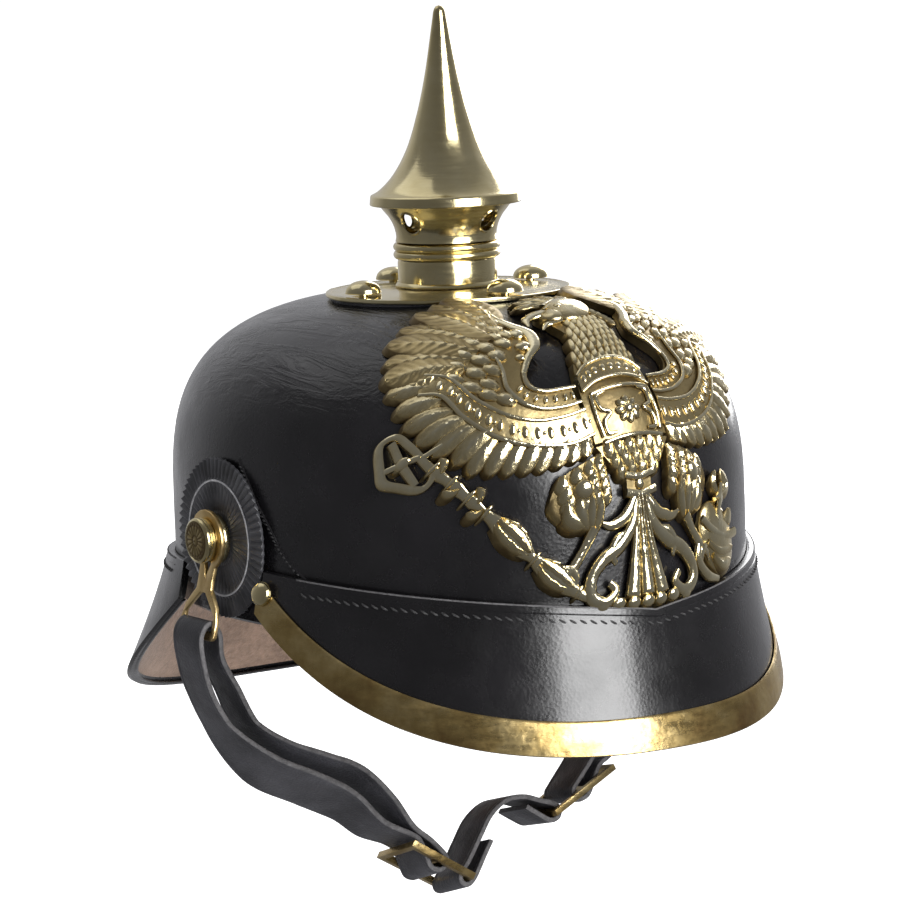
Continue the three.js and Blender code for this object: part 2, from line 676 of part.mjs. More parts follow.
/** A buckle frame with a centre bar, lying along direction about a centre [x, z]. */
function buckleSolid([x, z], degrees) {
  const half = buckle.length / 2;
  const halfWidth = buckle.width / 2;
  const thick = buckle.rod;
  const block = (from, to, reach) => outline([[from, -reach], [to, -reach], [to, reach], [from, reach]]);
  const inner = halfWidth - thick;
  const windows = [block(thick - half, -thick / 2, inner), block(thick / 2, half - thick, inner)];
  const frame = extruded(block(-half, half, halfWidth), thick, windows);
  const made = frame.translate([0, 0, -thick / 2]).rotate([0, -degrees, 0]);
  return made.translate([x, strapY, z]);
}

/** A point of a buckle's own length and height, given in [x, z]. */
function onBuckle([x, z], degrees, along, above) {
  const angle = THREE.MathUtils.degToRad(degrees);
  return [
    x + along * Math.cos(angle) - above * Math.sin(angle),
    z + along * Math.sin(angle) + above * Math.cos(angle),
  ];
}

const buckleRight = { centre: [-15, -93], tilt: -32 };
const buckleLeft = { centre: [43, -77], tilt: 27 };
const atRight = (along, above) => onBuckle(buckleRight.centre, buckleRight.tilt, along, above);
const atLeft = (along, above) => onBuckle(buckleLeft.centre, buckleLeft.tilt, along, above);
const wrap = (buckle.rod / 2) * Math.SQRT2 + fitGap + strap.thickness / 2;

const lugBarX = lugBack + lug.lean + lug.thickness / 2 - 0.8;
const lugBarZ = knobAxis.height - lug.drop + 1.3;
const barWrapX = lug.thickness / 2 + fitGap + strap.thickness / 2 + 1.2;

const rightLoop = [
  [-lugBarX, lugBarZ + 3.4], [-lugBarX - barWrapX, lugBarZ], [-lugBarX - 2.5, -14], [-98, -24], [-90, -38],
  [-77, -51], [-60, -60], [-46, -68], [-36, -77], atRight(-15, 3.5), atRight(-11, 3.2), atRight(-6.5, 0.2),
  atRight(-2, -wrap - 0.2), atRight(0.6, -wrap - 0.1), atRight(2.2, -2.1), atRight(wrap + 0.2, 0),
  atRight(2.2, 2.1), atRight(0.4, wrap + 0.2), atRight(-7, wrap + 2.1), [-24.5, -80], [-32, -70], [-43, -60],
  [-56, -54], [-70, -47], [-82, -36], [-89, -22], [-lugBarX + 4, -11], [-lugBarX + barWrapX, lugBarZ],
];
addPart('strap_right', twisted(strapStrip(rightLoop, true, 72)), strapLeather);

const leftLoop = [
  [lugBarX, lugBarZ + 3.4], [lugBarX + barWrapX, lugBarZ], [lugBarX + 2, -14], [97, -28], [88, -42],
  [76, -53], [65, -61], atLeft(15, 3.5), atLeft(11, 3.2), atLeft(6.5, 0.2), atLeft(2, -wrap - 0.2),
  atLeft(-0.6, -wrap - 0.1), atLeft(-2.2, -2.1), atLeft(-wrap - 0.2, 0), atLeft(-2.2, 2.1),
  atLeft(-0.4, wrap + 0.2), [46.5, -68.6], [54, -60], [64, -53], [75, -46], [85, -35], [91, -21],
  [lugBarX - 4, -11], [lugBarX - barWrapX, lugBarZ],
];
addPart('strap_left', twisted(strapStrip(leftLoop, true, 60)), strapLeather);

// Each end of the middle strap turns round a buckle's end bar and is sewn back on itself.
const endBar = buckle.length / 2 - buckle.rod / 2;
const roundBar = ([x, z], degrees) => {
  const angle = THREE.MathUtils.degToRad(degrees);
  return [x + wrap * Math.cos(angle), z + wrap * Math.sin(angle)];
};
const rightBar = atRight(endBar, 0);
const leftBar = atLeft(-endBar, 0);
const middleRoute = [
  [6, -88.9], [3.2, -93.4], roundBar(rightBar, -30), roundBar(rightBar, -85), roundBar(rightBar, -140),
  roundBar(rightBar, 165), [-3, -94.2], [1.6, -87], [6.5, -80], [13, -76], [20, -76], [26, -78],
  roundBar(leftBar, 75), roundBar(leftBar, 15), roundBar(leftBar, -45), roundBar(leftBar, -110),
  [25.4, -82.6], [20.6, -79.4],
];
addPart('strap_middle', twisted(strapStrip(middleRoute, false, 50)), strapLeather);
addPart('buckle_right', twisted(buckleSolid(buckleRight.centre, buckleRight.tilt)), brass);
addPart('buckle_left', twisted(buckleSolid(buckleLeft.centre, buckleLeft.tilt)), brass);

// ---- build: inside --------------------------------------------------------------

function ovalRing(loopPoints, segments) {
  const sections = range(segments).map((i) => {
    const angle = (i / segments) * 2 * Math.PI;
    return loopPoints.map(([height, inset]) => wallPoint(angle, height, inset));
  });
  return solid(loft(sections, true));
}

const hemTop = sweatband.bottom + 1.6;
addPart('sweatband', ovalRing([
  [sweatband.bottom, leather + 0.4], [sweatband.bottom, sweatband.inner], [sweatband.top, sweatband.inner],
  [sweatband.top, sweatband.outer], [hemTop, sweatband.outer], [hemTop, leather + 0.4],
], 40), brownLeather);

/** One liner tongue: a leaf that narrows as it climbs the dome. */
function tongueSolid(angle) {
  const lifts = [-1, 0.2, 0.45, 0.68, 0.88, 1.0];
  const halfWidths = [0.27, 0.27, 0.27, 0.25, 0.2, 0.08];
  const row = (i, inset) => [-1, 1].map((edge) => {
    const turn = angle + edge * halfWidths[i];
    if (lifts[i] < 0) return wallPoint(turn, liner.bandTop - 2, inset);
    return domePoint(turn, lifts[i], inset);
  });
  const sections = lifts.map((_, i) => [...row(i, liner.outer), ...row(i, liner.inner).reverse()]);
  return solid(loft(sections, false));
}

const linerBand = ovalRing([
  [liner.bandBottom, liner.outer], [liner.bandBottom, liner.inner],
  [liner.bandTop, liner.inner], [liner.bandTop, liner.outer],
], 30);
const tongues = range(liner.tongues).map((i) => tongueSolid(((i + 0.5) / liner.tongues) * 2 * Math.PI));
addPart('liner', join([linerBand, ...tongues]), brownLeather);

const cordLift = 0.88;
const cordRadius = 1;
const cordSegments = 30;
const cordInset = liner.inner + fitGap + cordRadius + 0.2;
const cordCurve = new THREE.CatmullRomCurve3(
  range(20).map((i) => domePoint((i / 20) * 2 * Math.PI, cordLift, cordInset)), true,
);
const cordSections = range(cordSegments).map((i) => {
  const middle = cordCurve.getPointAt(i / cordSegments);
  const along = cordCurve.getTangentAt(i / cordSegments);
  const across = along.clone().cross(up).normalize();
  const above = across.clone().cross(along).normalize();
  return range(5).map((k) => {
    const turn = (k / 5) * 2 * Math.PI;
    return middle.clone().addScaledVector(across, cordRadius * Math.cos(turn))
      .addScaledVector(above, cordRadius * Math.sin(turn));
  });
});
addPart('liner_cord', solid(loft(cordSections, true)), linen);

export default helmet;
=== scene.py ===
"""Looks for a spiked leather parade helmet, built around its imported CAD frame."""

import json
import math

import bmesh
import bpy
import numpy as np
from mathutils import Matrix, Vector

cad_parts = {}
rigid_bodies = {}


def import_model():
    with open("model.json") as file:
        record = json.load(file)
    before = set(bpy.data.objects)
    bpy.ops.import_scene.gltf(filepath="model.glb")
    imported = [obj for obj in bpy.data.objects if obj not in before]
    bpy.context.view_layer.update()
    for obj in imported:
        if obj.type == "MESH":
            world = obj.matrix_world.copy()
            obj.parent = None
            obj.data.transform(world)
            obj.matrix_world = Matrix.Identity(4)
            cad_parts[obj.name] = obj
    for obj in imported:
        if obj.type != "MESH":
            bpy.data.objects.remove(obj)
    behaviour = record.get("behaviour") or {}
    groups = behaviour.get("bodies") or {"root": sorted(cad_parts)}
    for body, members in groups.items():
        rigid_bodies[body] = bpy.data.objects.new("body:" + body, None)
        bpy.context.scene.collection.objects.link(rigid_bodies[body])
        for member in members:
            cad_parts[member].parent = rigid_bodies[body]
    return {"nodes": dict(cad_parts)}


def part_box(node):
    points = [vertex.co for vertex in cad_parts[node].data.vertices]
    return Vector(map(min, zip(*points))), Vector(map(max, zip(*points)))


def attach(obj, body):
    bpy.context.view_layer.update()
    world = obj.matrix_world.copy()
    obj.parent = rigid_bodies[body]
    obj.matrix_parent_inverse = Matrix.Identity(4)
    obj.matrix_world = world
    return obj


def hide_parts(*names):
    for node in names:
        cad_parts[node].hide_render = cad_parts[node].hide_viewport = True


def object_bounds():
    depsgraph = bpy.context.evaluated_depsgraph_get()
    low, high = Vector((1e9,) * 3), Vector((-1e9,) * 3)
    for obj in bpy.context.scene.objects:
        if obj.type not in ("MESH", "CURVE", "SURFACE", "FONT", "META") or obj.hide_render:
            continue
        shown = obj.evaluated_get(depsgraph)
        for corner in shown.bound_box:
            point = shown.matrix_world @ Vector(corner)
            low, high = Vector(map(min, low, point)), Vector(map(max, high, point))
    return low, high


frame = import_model()
cad_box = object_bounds()

# The camera, the lights and the floor are placed in metres.
MM = 0.001

FIT_GAP = 0.3
LEATHER = 3.0
SKULL = {"half_width": 87.5, "half_length": 107.5, "spring": 30.0, "rise": 68.5, "power": 3.0}
# The opening in the crown, under the spike.
CROWN_HOLE_RADIUS = 12.0

BRIM_THICKNESS = 2.4
FRONT_BRIM = {
    "facing": -1, "half_angle": 78, "seam_middle": 6.6, "seam_end": 18, "edge_middle": -34.5,
    "edge_end": 6, "flare_middle": 11.5, "flare_end": 6, "flare_power": 2.5, "edge_power": 3,
}
REAR_BRIM = {
    "facing": 1, "half_angle": 74, "seam_middle": 8, "seam_end": 15, "edge_middle": -49,
    "edge_end": 3, "flare_middle": 29, "flare_end": 5, "flare_power": 2, "edge_power": 2.2,
}

BADGE_LEAN = math.radians(35)
BADGE_CENTRE = -3.0
BADGE_UP = np.array([0, math.sin(BADGE_LEAN), math.cos(BADGE_LEAN)])
BADGE_OUT = np.array([0, -math.cos(BADGE_LEAN), math.sin(BADGE_LEAN)])

# The cockade, washer and knob of each side share one axis along X. Each is turned about it from its
# own starting point.
KNOB_Y = 2.0
KNOB_HEIGHT = 26.2
COCKADE_X = 87.8
WASHER_X = 89.9
KNOB_X = 94.5
SIDES = (("right", -1), ("left", 1))

# The studio, in metres. The lights aim at a point 50 mm above the rim's centre, and the floor lies
# FLOOR_GAP under the CAD.
LIGHT_TARGET = (0, 0, 0.05)
FLOOR_HALF = 24.0
FLOOR_GAP = 0.03
FLOOR_GLOW = 0.85
BACKDROP_STRENGTH = 1.3


# ---- camera, floor and light -------------------------------------------------

def add_camera():
    """The photograph's view: from the wearer's front right, a little above the rim."""
    azimuth = math.radians(-33.5)
    elevation = math.radians(7.93)
    roll = math.radians(-1.9)
    distance = 1.296
    target = Vector((-0.00095, 0.00064, 0.04535))
    back = Vector((
        math.sin(azimuth) * math.cos(elevation),
        -math.cos(azimuth) * math.cos(elevation),
        math.sin(elevation),
    ))
    level = Vector((math.cos(azimuth), math.sin(azimuth), 0))
    rise = back.cross(level)
    right = math.cos(roll) * level + math.sin(roll) * rise
    up = math.cos(roll) * rise - math.sin(roll) * level
    data = bpy.data.cameras.new("camera")
    data.lens = 157.1
    data.sensor_width = 36
    data.clip_end = 100
    camera = bpy.data.objects.new("camera", data)
    bpy.context.scene.collection.objects.link(camera)
    turn = Matrix((right, up, back)).transposed().to_4x4()
    camera.matrix_world = Matrix.Translation(target + back * distance) @ turn
    bpy.context.scene.camera = camera


def add_area_light(name, position, size, power):
    data = bpy.data.lights.new(name, "AREA")
    data.shape = "RECTANGLE"
    data.size, data.size_y = size
    data.energy = power
    light = bpy.data.objects.new(name, data)
    light.location = position
    aim = Vector(LIGHT_TARGET) - Vector(position)
    light.rotation_euler = aim.to_track_quat("-Z", "Y").to_euler()
    bpy.context.scene.collection.objects.link(light)


def add_floor():
    mesh = bpy.data.meshes.new("floor")
    signs = ((-1, -1), (1, -1), (1, 1), (-1, 1))
    corners = [(FLOOR_HALF * x, FLOOR_HALF * y, 0) for x, y in signs]
    mesh.from_pydata(corners, [], [(0, 1, 2, 3)])
    floor = bpy.data.objects.new("floor", mesh)
    floor.location.z = cad_box[0][2] - FLOOR_GAP
    floor.visible_glossy = False
    bpy.context.scene.collection.objects.link(floor)
    paper = plain_material("floor_paper", (0.9, 0.9, 0.9), 0.9)
    shader = paper.node_tree.nodes["Principled BSDF"]
    shader.inputs["Emission Color"].default_value = (1, 1, 1, 1)
    shader.inputs["Emission Strength"].default_value = FLOOR_GLOW
    mesh.materials.append(paper)


def add_world():
    """A pale backdrop that only the camera sees.

    Everything else is lit by surroundings that are dark in front and bright behind.
    """
    world = bpy.data.worlds.new("studio")
    bpy.context.scene.world = world
    bpy.context.scene.view_settings.view_transform = "Standard"
    world.use_nodes = True
    nodes, links = world.node_tree.nodes, world.node_tree.links
    pale = nodes["Background"]
    pale.inputs["Color"].default_value = (0.93, 0.94, 0.96, 1)
    pale.inputs["Strength"].default_value = BACKDROP_STRENGTH
    seen = nodes.new("ShaderNodeBackground")
    direction = nodes.new("ShaderNodeTexCoord").outputs["Generated"]
    behind = nodes.new("ShaderNodeVectorMath")
    behind.operation = "DOT_PRODUCT"
    behind.inputs[1].default_value = (0.5, 0.8, 0.33)
    links.new(direction, behind.inputs[0])
    half = nodes.new("ShaderNodeMapRange")
    half.inputs["From Min"].default_value = -1
    links.new(behind.outputs["Value"], half.inputs["Value"])
    ramp = nodes.new("ShaderNodeValToRGB")
    elements = ramp.color_ramp.elements
    stops = ((0.1, 0.12), (0.45, 0.16), (0.7, 0.22), (0.93, 0.52))
    elements.new(0.45)
    elements.new(0.7)
    for element, (position, grey) in zip(elements, stops):
        element.position = position
        element.color = (grey, grey, grey * 1.04, 1)
    links.new(half.outputs["Result"], ramp.inputs["Fac"])
    links.new(ramp.outputs["Color"], seen.inputs["Color"])
    kind = nodes.new("ShaderNodeLightPath")
    mix = nodes.new("ShaderNodeMixShader")
    links.new(kind.outputs["Is Camera Ray"], mix.inputs["Fac"])
    links.new(seen.outputs["Background"], mix.inputs[1])
    links.new(pale.outputs["Background"], mix.inputs[2])
    links.new(mix.outputs["Shader"], nodes["World Output"].inputs["Surface"])


# ---- materials ---------------------------------------------------------------

class Look:
    """A node material around one Principled shader, with helpers for its textures."""

    def __init__(self, name, colour, roughness, metallic=0.0):
        self.material = bpy.data.materials.new(name)
        self.material.use_nodes = True
        self.nodes = self.material.node_tree.nodes
        self.links = self.material.node_tree.links
        self.shader = self.nodes["Principled BSDF"]
        self.set("Base Color", (*colour, 1))
        self.set("Roughness", roughness)
        self.set("Metallic", metallic)
        self.place = self.nodes.new("ShaderNodeTexCoord").outputs["Object"]

    def set(self, socket, value):
        self.shader.inputs[socket].default_value = value

    def stretched(self, scale, turn=(0, 0, 0)):
        node = self.nodes.new("ShaderNodeMapping")
        node.inputs["Scale"].default_value = scale
        node.inputs["Rotation"].default_value = turn
        self.links.new(self.place, node.inputs["Vector"])
        return node.outputs["Vector"]

    def noise(self, scale, detail=4.0, roughness=0.5, place=None, distortion=0.0):
        node = self.nodes.new("ShaderNodeTexNoise")
        node.inputs["Scale"].default_value = scale
        node.inputs["Detail"].default_value = detail
        node.inputs["Roughness"].default_value = roughness
        node.inputs["Distortion"].default_value = distortion
        self.links.new(place or self.place, node.inputs["Vector"])
        return node.outputs["Fac"]

    def cells(self, scale):
        node = self.nodes.new("ShaderNodeTexVoronoi")
        node.feature = "F1"
        node.inputs["Scale"].default_value = scale
        self.links.new(self.place, node.inputs["Vector"])
        return node.outputs["Distance"]

    def coordinate(self, axis, scale):
        """One object coordinate, in metres times a scale."""
        node = self.nodes.new("ShaderNodeSeparateXYZ")
        self.links.new(self.place, node.inputs["Vector"])
        return self.math("MULTIPLY", node.outputs[axis], scale)

    def ramp(self, value, stops):
        """A value or colour read from (position, value or colour) stops."""
        node = self.nodes.new("ShaderNodeValToRGB")
        elements = node.color_ramp.elements
        while len(elements) < len(stops):
            elements.new(0.5)
        for element, (position, colour) in zip(elements, stops):
            element.position = position
            grey = isinstance(colour, (int, float))
            element.color = (colour, colour, colour, 1) if grey else (*colour, 1)
        self.links.new(value, node.inputs["Fac"])
        return node.outputs["Color"]

    def math(self, kind, first, second):
        node = self.nodes.new("ShaderNodeMath")
        node.operation = kind
        for socket, value in zip(node.inputs, (first, second)):
            if isinstance(value, (int, float)):
                socket.default_value = value
            else:
                self.links.new(value, socket)
        return node.outputs["Value"]

    def attribute(self, name):
        node = self.nodes.new("ShaderNodeAttribute")
        node.attribute_name = name
        return node.outputs["Fac"]

    def feed(self, socket, value):
        self.links.new(value, self.shader.inputs[socket])

    def bump(self, *layers):
        """Stack (height, distance in metres) layers into the shader's normal."""
        normal = None
        for height, distance in layers:
            node = self.nodes.new("ShaderNodeBump")
            node.inputs["Distance"].default_value = distance
            self.links.new(height, node.inputs["Height"])
            if normal is not None:
                self.links.new(normal, node.inputs["Normal"])
            normal = node.outputs["Normal"]
        self.feed("Normal", normal)


def plain_material(name, colour, roughness):
    look = Look(name, colour, roughness)
    speck = look.noise(4.0, 2.0)
    look.feed("Base Color", look.ramp(speck, [
        (0.35, tuple(0.985 * c for c in colour)), (0.65, colour),
    ]))
    return look.material


def varnished_leather():
    """Glossy black leather: a fine pebble grain, and creases round the wearer's right of the crown."""
    look = Look("varnished_leather", (0.006, 0.0055, 0.0065), 0.26)
    look.set("Coat Weight", 0.3)
    look.set("Coat Roughness", 0.16)
    cloud = look.noise(26.0, 5.0)
    look.feed("Base Color", look.ramp(cloud, [
        (0.35, (0.0025, 0.0023, 0.0026)), (0.7, (0.0065, 0.006, 0.007)),
    ]))
    look.feed("Roughness", look.ramp(look.noise(70.0, 6.0, 0.6), [(0.3, 0.2), (0.75, 0.36)]))
    crease = look.ramp(look.noise(150.0, 4.0, 0.6, look.stretched((1, 0.16, 1), (0, 0, 0.35)), 0.8), [
        (0.4, 0.0), (0.5, 1.0), (0.6, 0.0),
    ])
    high = look.ramp(look.coordinate("Z", 10.0), [(0.62, 0.0), (0.82, 1.0)])
    aside = look.ramp(look.coordinate("X", -10.0), [(0.05, 0.0), (0.35, 1.0)])
    crease = look.math("MULTIPLY", crease, look.math("MULTIPLY", high, aside))
    look.bump((look.noise(30.0, 3.0), 0.0004), (crease, 0.00022), (look.cells(900.0), 0.00004))
    return look.material


def raw_leather(name, dark, light):
    look = Look(name, light, 0.9)
    look.set("Sheen Weight", 0.25)
    fibre = look.noise(420.0, 7.0, 0.7)
    blotch = look.noise(38.0, 4.0)
    both = look.math("ADD", look.math("MULTIPLY", fibre, 0.6), look.math("MULTIPLY", blotch, 0.4))
    look.feed("Base Color", look.ramp(both, [(0.34, dark), (0.64, light)]))
    look.bump((fibre, 0.0003), (look.cells(1300.0), 0.00012))
    return look.material


def strap_leather():
    look = Look("strap_leather", (0.03, 0.03, 0.034), 0.55)
    cloud = look.noise(55.0, 5.0)
    look.feed("Base Color", look.ramp(cloud, [
        (0.35, (0.018, 0.018, 0.021)), (0.7, (0.042, 0.042, 0.049)),
    ]))
    look.feed("Roughness", look.ramp(look.noise(180.0, 5.0), [(0.3, 0.42), (0.7, 0.62)]))
    look.bump((look.noise(90.0, 4.0), 0.00025), (look.cells(1100.0), 0.00014))
    return look.material


def cut_edge():
    look = Look("cut_edge", (0.06, 0.058, 0.06), 0.7)
    fibre = look.noise(700.0, 6.0, 0.7)
    look.feed("Base Color", look.ramp(fibre, [
        (0.3, (0.03, 0.029, 0.031)), (0.7, (0.1, 0.097, 0.1)),
    ]))
    look.bump((fibre, 0.0002),)
    return look.material


def polished_brass():
    look = Look("polished_brass", (0.78, 0.62, 0.3), 0.14, 1.0)
    tarnish = look.noise(34.0, 6.0, 0.6)
    look.feed("Base Color", look.ramp(tarnish, [
        (0.28, (0.5, 0.4, 0.2)), (0.5, (0.72, 0.62, 0.35)), (0.75, (0.84, 0.75, 0.48)),
    ]))
    scratch = look.noise(90.0, 6.0, 0.65, look.stretched((1, 1, 16)))
    look.feed("Roughness", look.ramp(scratch, [(0.3, 0.1), (0.7, 0.22)]))
    look.bump((look.noise(44.0, 2.0), 0.0005), (scratch, 0.00003))
    return look.material


def satin_brass():
    look = Look("satin_brass", (0.78, 0.57, 0.26), 0.32, 1.0)
    patch = look.noise(110.0, 6.0, 0.6)
    look.feed("Base Color", look.ramp(patch, [
        (0.3, (0.6, 0.41, 0.16)), (0.6, (0.8, 0.6, 0.29)),
    ]))
    rubbed = look.noise(380.0, 6.0, 0.7)
    look.feed("Roughness", look.ramp(rubbed, [(0.3, 0.24), (0.7, 0.4)]))
    look.bump((patch, 0.0003), (rubbed, 0.00006))
    return look.material


def badge_brass():
    """Stamped brass from a per-vertex value that mixes wear with painted light: pale and polished on
    raised tops, brown in the recesses, as tarnish plus painted recess shade.
    """
    look = Look("badge_brass", (0.72, 0.57, 0.28), 0.2, 1.0)
    wear_and_shade = look.attribute("wear_and_shade")
    cloud = look.noise(160.0, 5.0, 0.6)
    share = look.math("ADD", wear_and_shade, look.math("MULTIPLY", look.math("SUBTRACT", cloud, 0.5), 0.5))
    # Low values give the brown of tarnish and painted recess shade; high values give pale polished
    # brass, brightened as painted highlight.
    look.feed("Base Color", look.ramp(share, [
        (0.05, (0.17, 0.12, 0.055)), (0.35, (0.48, 0.38, 0.19)), (0.7, (0.8, 0.69, 0.42)),
        (1.0, (0.93, 0.86, 0.62)),
    ]))
    look.feed("Roughness", look.ramp(share, [(0.1, 0.48), (0.5, 0.25), (0.9, 0.14)]))
    look.bump((look.noise(260.0, 4.0), 0.0003), (cloud, 0.00008))
    return look.material


def aged_brass():
    """The brim's channel: satin brass with brown patches and marks rubbed along its length."""
    look = Look("aged_brass", (0.56, 0.42, 0.19), 0.33, 1.0)
    patch = look.noise(42.0, 7.0, 0.65)
    look.feed("Base Color", look.ramp(patch, [
        (0.3, (0.26, 0.16, 0.06)), (0.48, (0.46, 0.33, 0.13)), (0.72, (0.74, 0.59, 0.3)),
    ]))
    rubbed = look.noise(260.0, 6.0, 0.7, look.stretched((0.25, 0.25, 1)))
    look.feed("Roughness", look.ramp(rubbed, [(0.3, 0.2), (0.7, 0.42)]))
    look.bump((look.noise(120.0, 3.0), 0.0004), (rubbed, 0.00012))
    return look.material


def black_pleats():
    look = Look("black_pleats", (0.016, 0.016, 0.018), 0.42)
    cloud = look.noise(120.0, 5.0)
    look.feed("Base Color", look.ramp(cloud, [
        (0.3, (0.02, 0.02, 0.022)), (0.7, (0.05, 0.05, 0.056)),
    ]))
    look.bump((look.noise(600.0, 4.0), 0.0001),)
    return look.material


def speckled(name, dark, light, roughness, scale, depth):
    look = Look(name, light, roughness)
    speck = look.noise(scale, 5.0, 0.6)
    look.feed("Base Color", look.ramp(speck, [(0.35, dark), (0.65, light)]))
    look.bump((speck, depth),)
    return look.material


LOOKS = {
    "skull": varnished_leather(),
    "strap": strap_leather(),
    "edge": cut_edge(),
    "inside": raw_leather("inside_leather", (0.12, 0.075, 0.05), (0.27, 0.18, 0.13)),
    "liner": raw_leather("liner_leather", (0.16, 0.10, 0.06), (0.34, 0.24, 0.16)),
    "brass": polished_brass(),
    "badge": badge_brass(),
    "aged": aged_brass(),
    "satin": satin_brass(),
    "pleats": black_pleats(),
    "ring": speckled("grey_ring", (0.16, 0.16, 0.17), (0.3, 0.3, 0.31), 0.5, 300.0, 0.0001),
    "thread": speckled("black_thread", (0.012, 0.012, 0.013), (0.035, 0.034, 0.035), 0.7, 1500.0,
                       0.0002),
    "linen": speckled("linen_cord", (0.3, 0.26, 0.2), (0.5, 0.45, 0.36), 0.9, 1200.0, 0.0003),
}


# ---- mesh helpers ------------------------------------------------------------

def smooth_path(points, count, closed=False):
    """count points evenly spaced along a centripetal Catmull-Rom curve through points."""
    knots = np.asarray(points, float)
    if closed:
        knots = np.vstack([knots[-1], knots, knots[0], knots[1]])
    else:
        knots = np.vstack([2 * knots[0] - knots[1], knots, 2 * knots[-1] - knots[-2]])
    dense = []
    for p0, p1, p2, p3 in zip(knots, knots[1:], knots[2:], knots[3:]):
        t1 = np.linalg.norm(p1 - p0) ** 0.5
        t2 = t1 + np.linalg.norm(p2 - p1) ** 0.5
        t3 = t2 + np.linalg.norm(p3 - p2) ** 0.5
        t = np.linspace(t1, t2, 16, endpoint=False)[:, None]
        a1 = (t1 - t) / t1 * p0 + t / t1 * p1
        a2 = (t2 - t) / (t2 - t1) * p1 + (t - t1) / (t2 - t1) * p2
        a3 = (t3 - t) / (t3 - t2) * p2 + (t - t2) / (t3 - t2) * p3
        b1 = (t2 - t) / t2 * a1 + t / t2 * a2
        b2 = (t3 - t) / (t3 - t1) * a2 + (t - t1) / (t3 - t1) * a3
        dense.append((t2 - t) / (t2 - t1) * b1 + (t - t1) / (t2 - t1) * b2)
    dense.append(knots[-2][None, :])
    curve = np.vstack(dense)
    gone = np.concatenate([[0], np.cumsum(np.linalg.norm(np.diff(curve, axis=0), axis=1))])
    stations = np.linspace(0, gone[-1], count, endpoint=not closed)
    return np.stack([np.interp(stations, gone, curve[:, k]) for k in range(curve.shape[1])], axis=1)


def tangents(path, closed=False):
    if closed:
        steps = np.roll(path, -1, axis=0) - np.roll(path, 1, axis=0)
    else:
        steps = np.gradient(path, axis=0)
    return steps / np.linalg.norm(steps, axis=1, keepdims=True)


class Shape:
    """Gathers grids of points into one mesh."""

    def __init__(self):
        self.points = []
        self.faces = []
        self.slots = []
        self.wear_and_shade = []
        self.count = 0

    def grid(self, points, close_rows=False, caps=False, slot=0, wear_and_shade=0.6):
        """points is rows by columns by 3. slot may be a function of (row, column)."""
        rows, columns = points.shape[:2]
        start = self.count
        self.points.append(points.reshape(-1, 3))
        self.wear_and_shade.append(np.broadcast_to(wear_and_shade, (rows, columns)).reshape(-1))
        self.count += rows * columns
        for i in range(rows if close_rows else rows - 1):
            for j in range(columns):
                here, along = start + i * columns, start + (i + 1) % rows * columns
                beside = (j + 1) % columns
                self.faces.append((here + j, here + beside, along + beside, along + j))
                self.slots.append(slot(i, j) if callable(slot) else slot)
        if caps:
            first = tuple(range(start, start + columns))
            last = tuple(range(start + (rows - 1) * columns, start + rows * columns))
            self.faces += [first[::-1], last]
            self.slots += [slot(0, 0) if callable(slot) else slot] * 2

    def lathe(self, profile, segments):
        """A turned solid about +Z from a closed loop of (radius, height) pairs."""
        turn = np.linspace(0, 2 * np.pi, segments, endpoint=False)[:, None]
        radius, height = np.asarray(profile, float).T
        points = np.stack([radius * np.sin(turn), -radius * np.cos(turn), height + 0 * turn], axis=2)
        self.grid(points, close_rows=True)

    def moved(self, origin, direction):
        """Turn what is gathered so that its +Z follows direction from origin."""
        turn = Vector((0, 0, 1)).rotation_difference(Vector(direction)).to_matrix()
        matrix = np.array(turn)
        self.points = [part @ matrix.T + np.asarray(origin) for part in self.points]

    def finish(self, name, looks, body, slot, replaces=(), sharp=40):
        points = np.vstack(self.points) * MM
        mesh = bpy.data.meshes.new(name)
        mesh.from_pydata(points.tolist(), [], self.faces)
        for look in looks:
            mesh.materials.append(LOOKS[look])
        mesh.polygons.foreach_set("material_index", self.slots)
        # A per-vertex value that mixes wear with painted recess shade and painted highlight; only the
        # badge material reads it.
        wear_and_shade = mesh.attributes.new("wear_and_shade", "FLOAT", "POINT")
        wear_and_shade.data.foreach_set("value", np.concatenate(self.wear_and_shade).astype(np.float32))
        tidy = bmesh.new()
        tidy.from_mesh(mesh)
        bmesh.ops.remove_doubles(tidy, verts=tidy.verts, dist=2e-7)
        bmesh.ops.recalc_face_normals(tidy, faces=tidy.faces)
        tidy.to_mesh(mesh)
        tidy.free()
        mesh.shade_smooth()
        mesh.set_sharp_from_angle(angle=math.radians(sharp))
        piece = bpy.data.objects.new(name, mesh)
        bpy.context.scene.collection.objects.link(piece)
        ride_for(piece, body, replaces)
        return piece


def ride_for(piece, body, replaces):
    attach(piece, body)
    if replaces:
        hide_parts(*replaces)


def tube(shape, path, radius, closed=False, sides=10, up=(0, 0, 1), slot=0, flat=1.0):
    """A round tube along 3-D points; radius may vary, and flat squashes it along its own up."""
    along = tangents(path, closed)
    across = np.cross(along, np.asarray(up, float))
    across /= np.linalg.norm(across, axis=1, keepdims=True)
    above = np.cross(across, along)
    turn = np.linspace(0, 2 * np.pi, sides, endpoint=False)
    radius = np.broadcast_to(radius, len(path))[:, None, None]
    ring = (
        path[:, None, :]
        + radius * np.cos(turn)[None, :, None] * across[:, None, :]
        + radius * flat * np.sin(turn)[None, :, None] * above[:, None, :]
    )
    shape.grid(ring, close_rows=closed, caps=not closed, slot=slot)


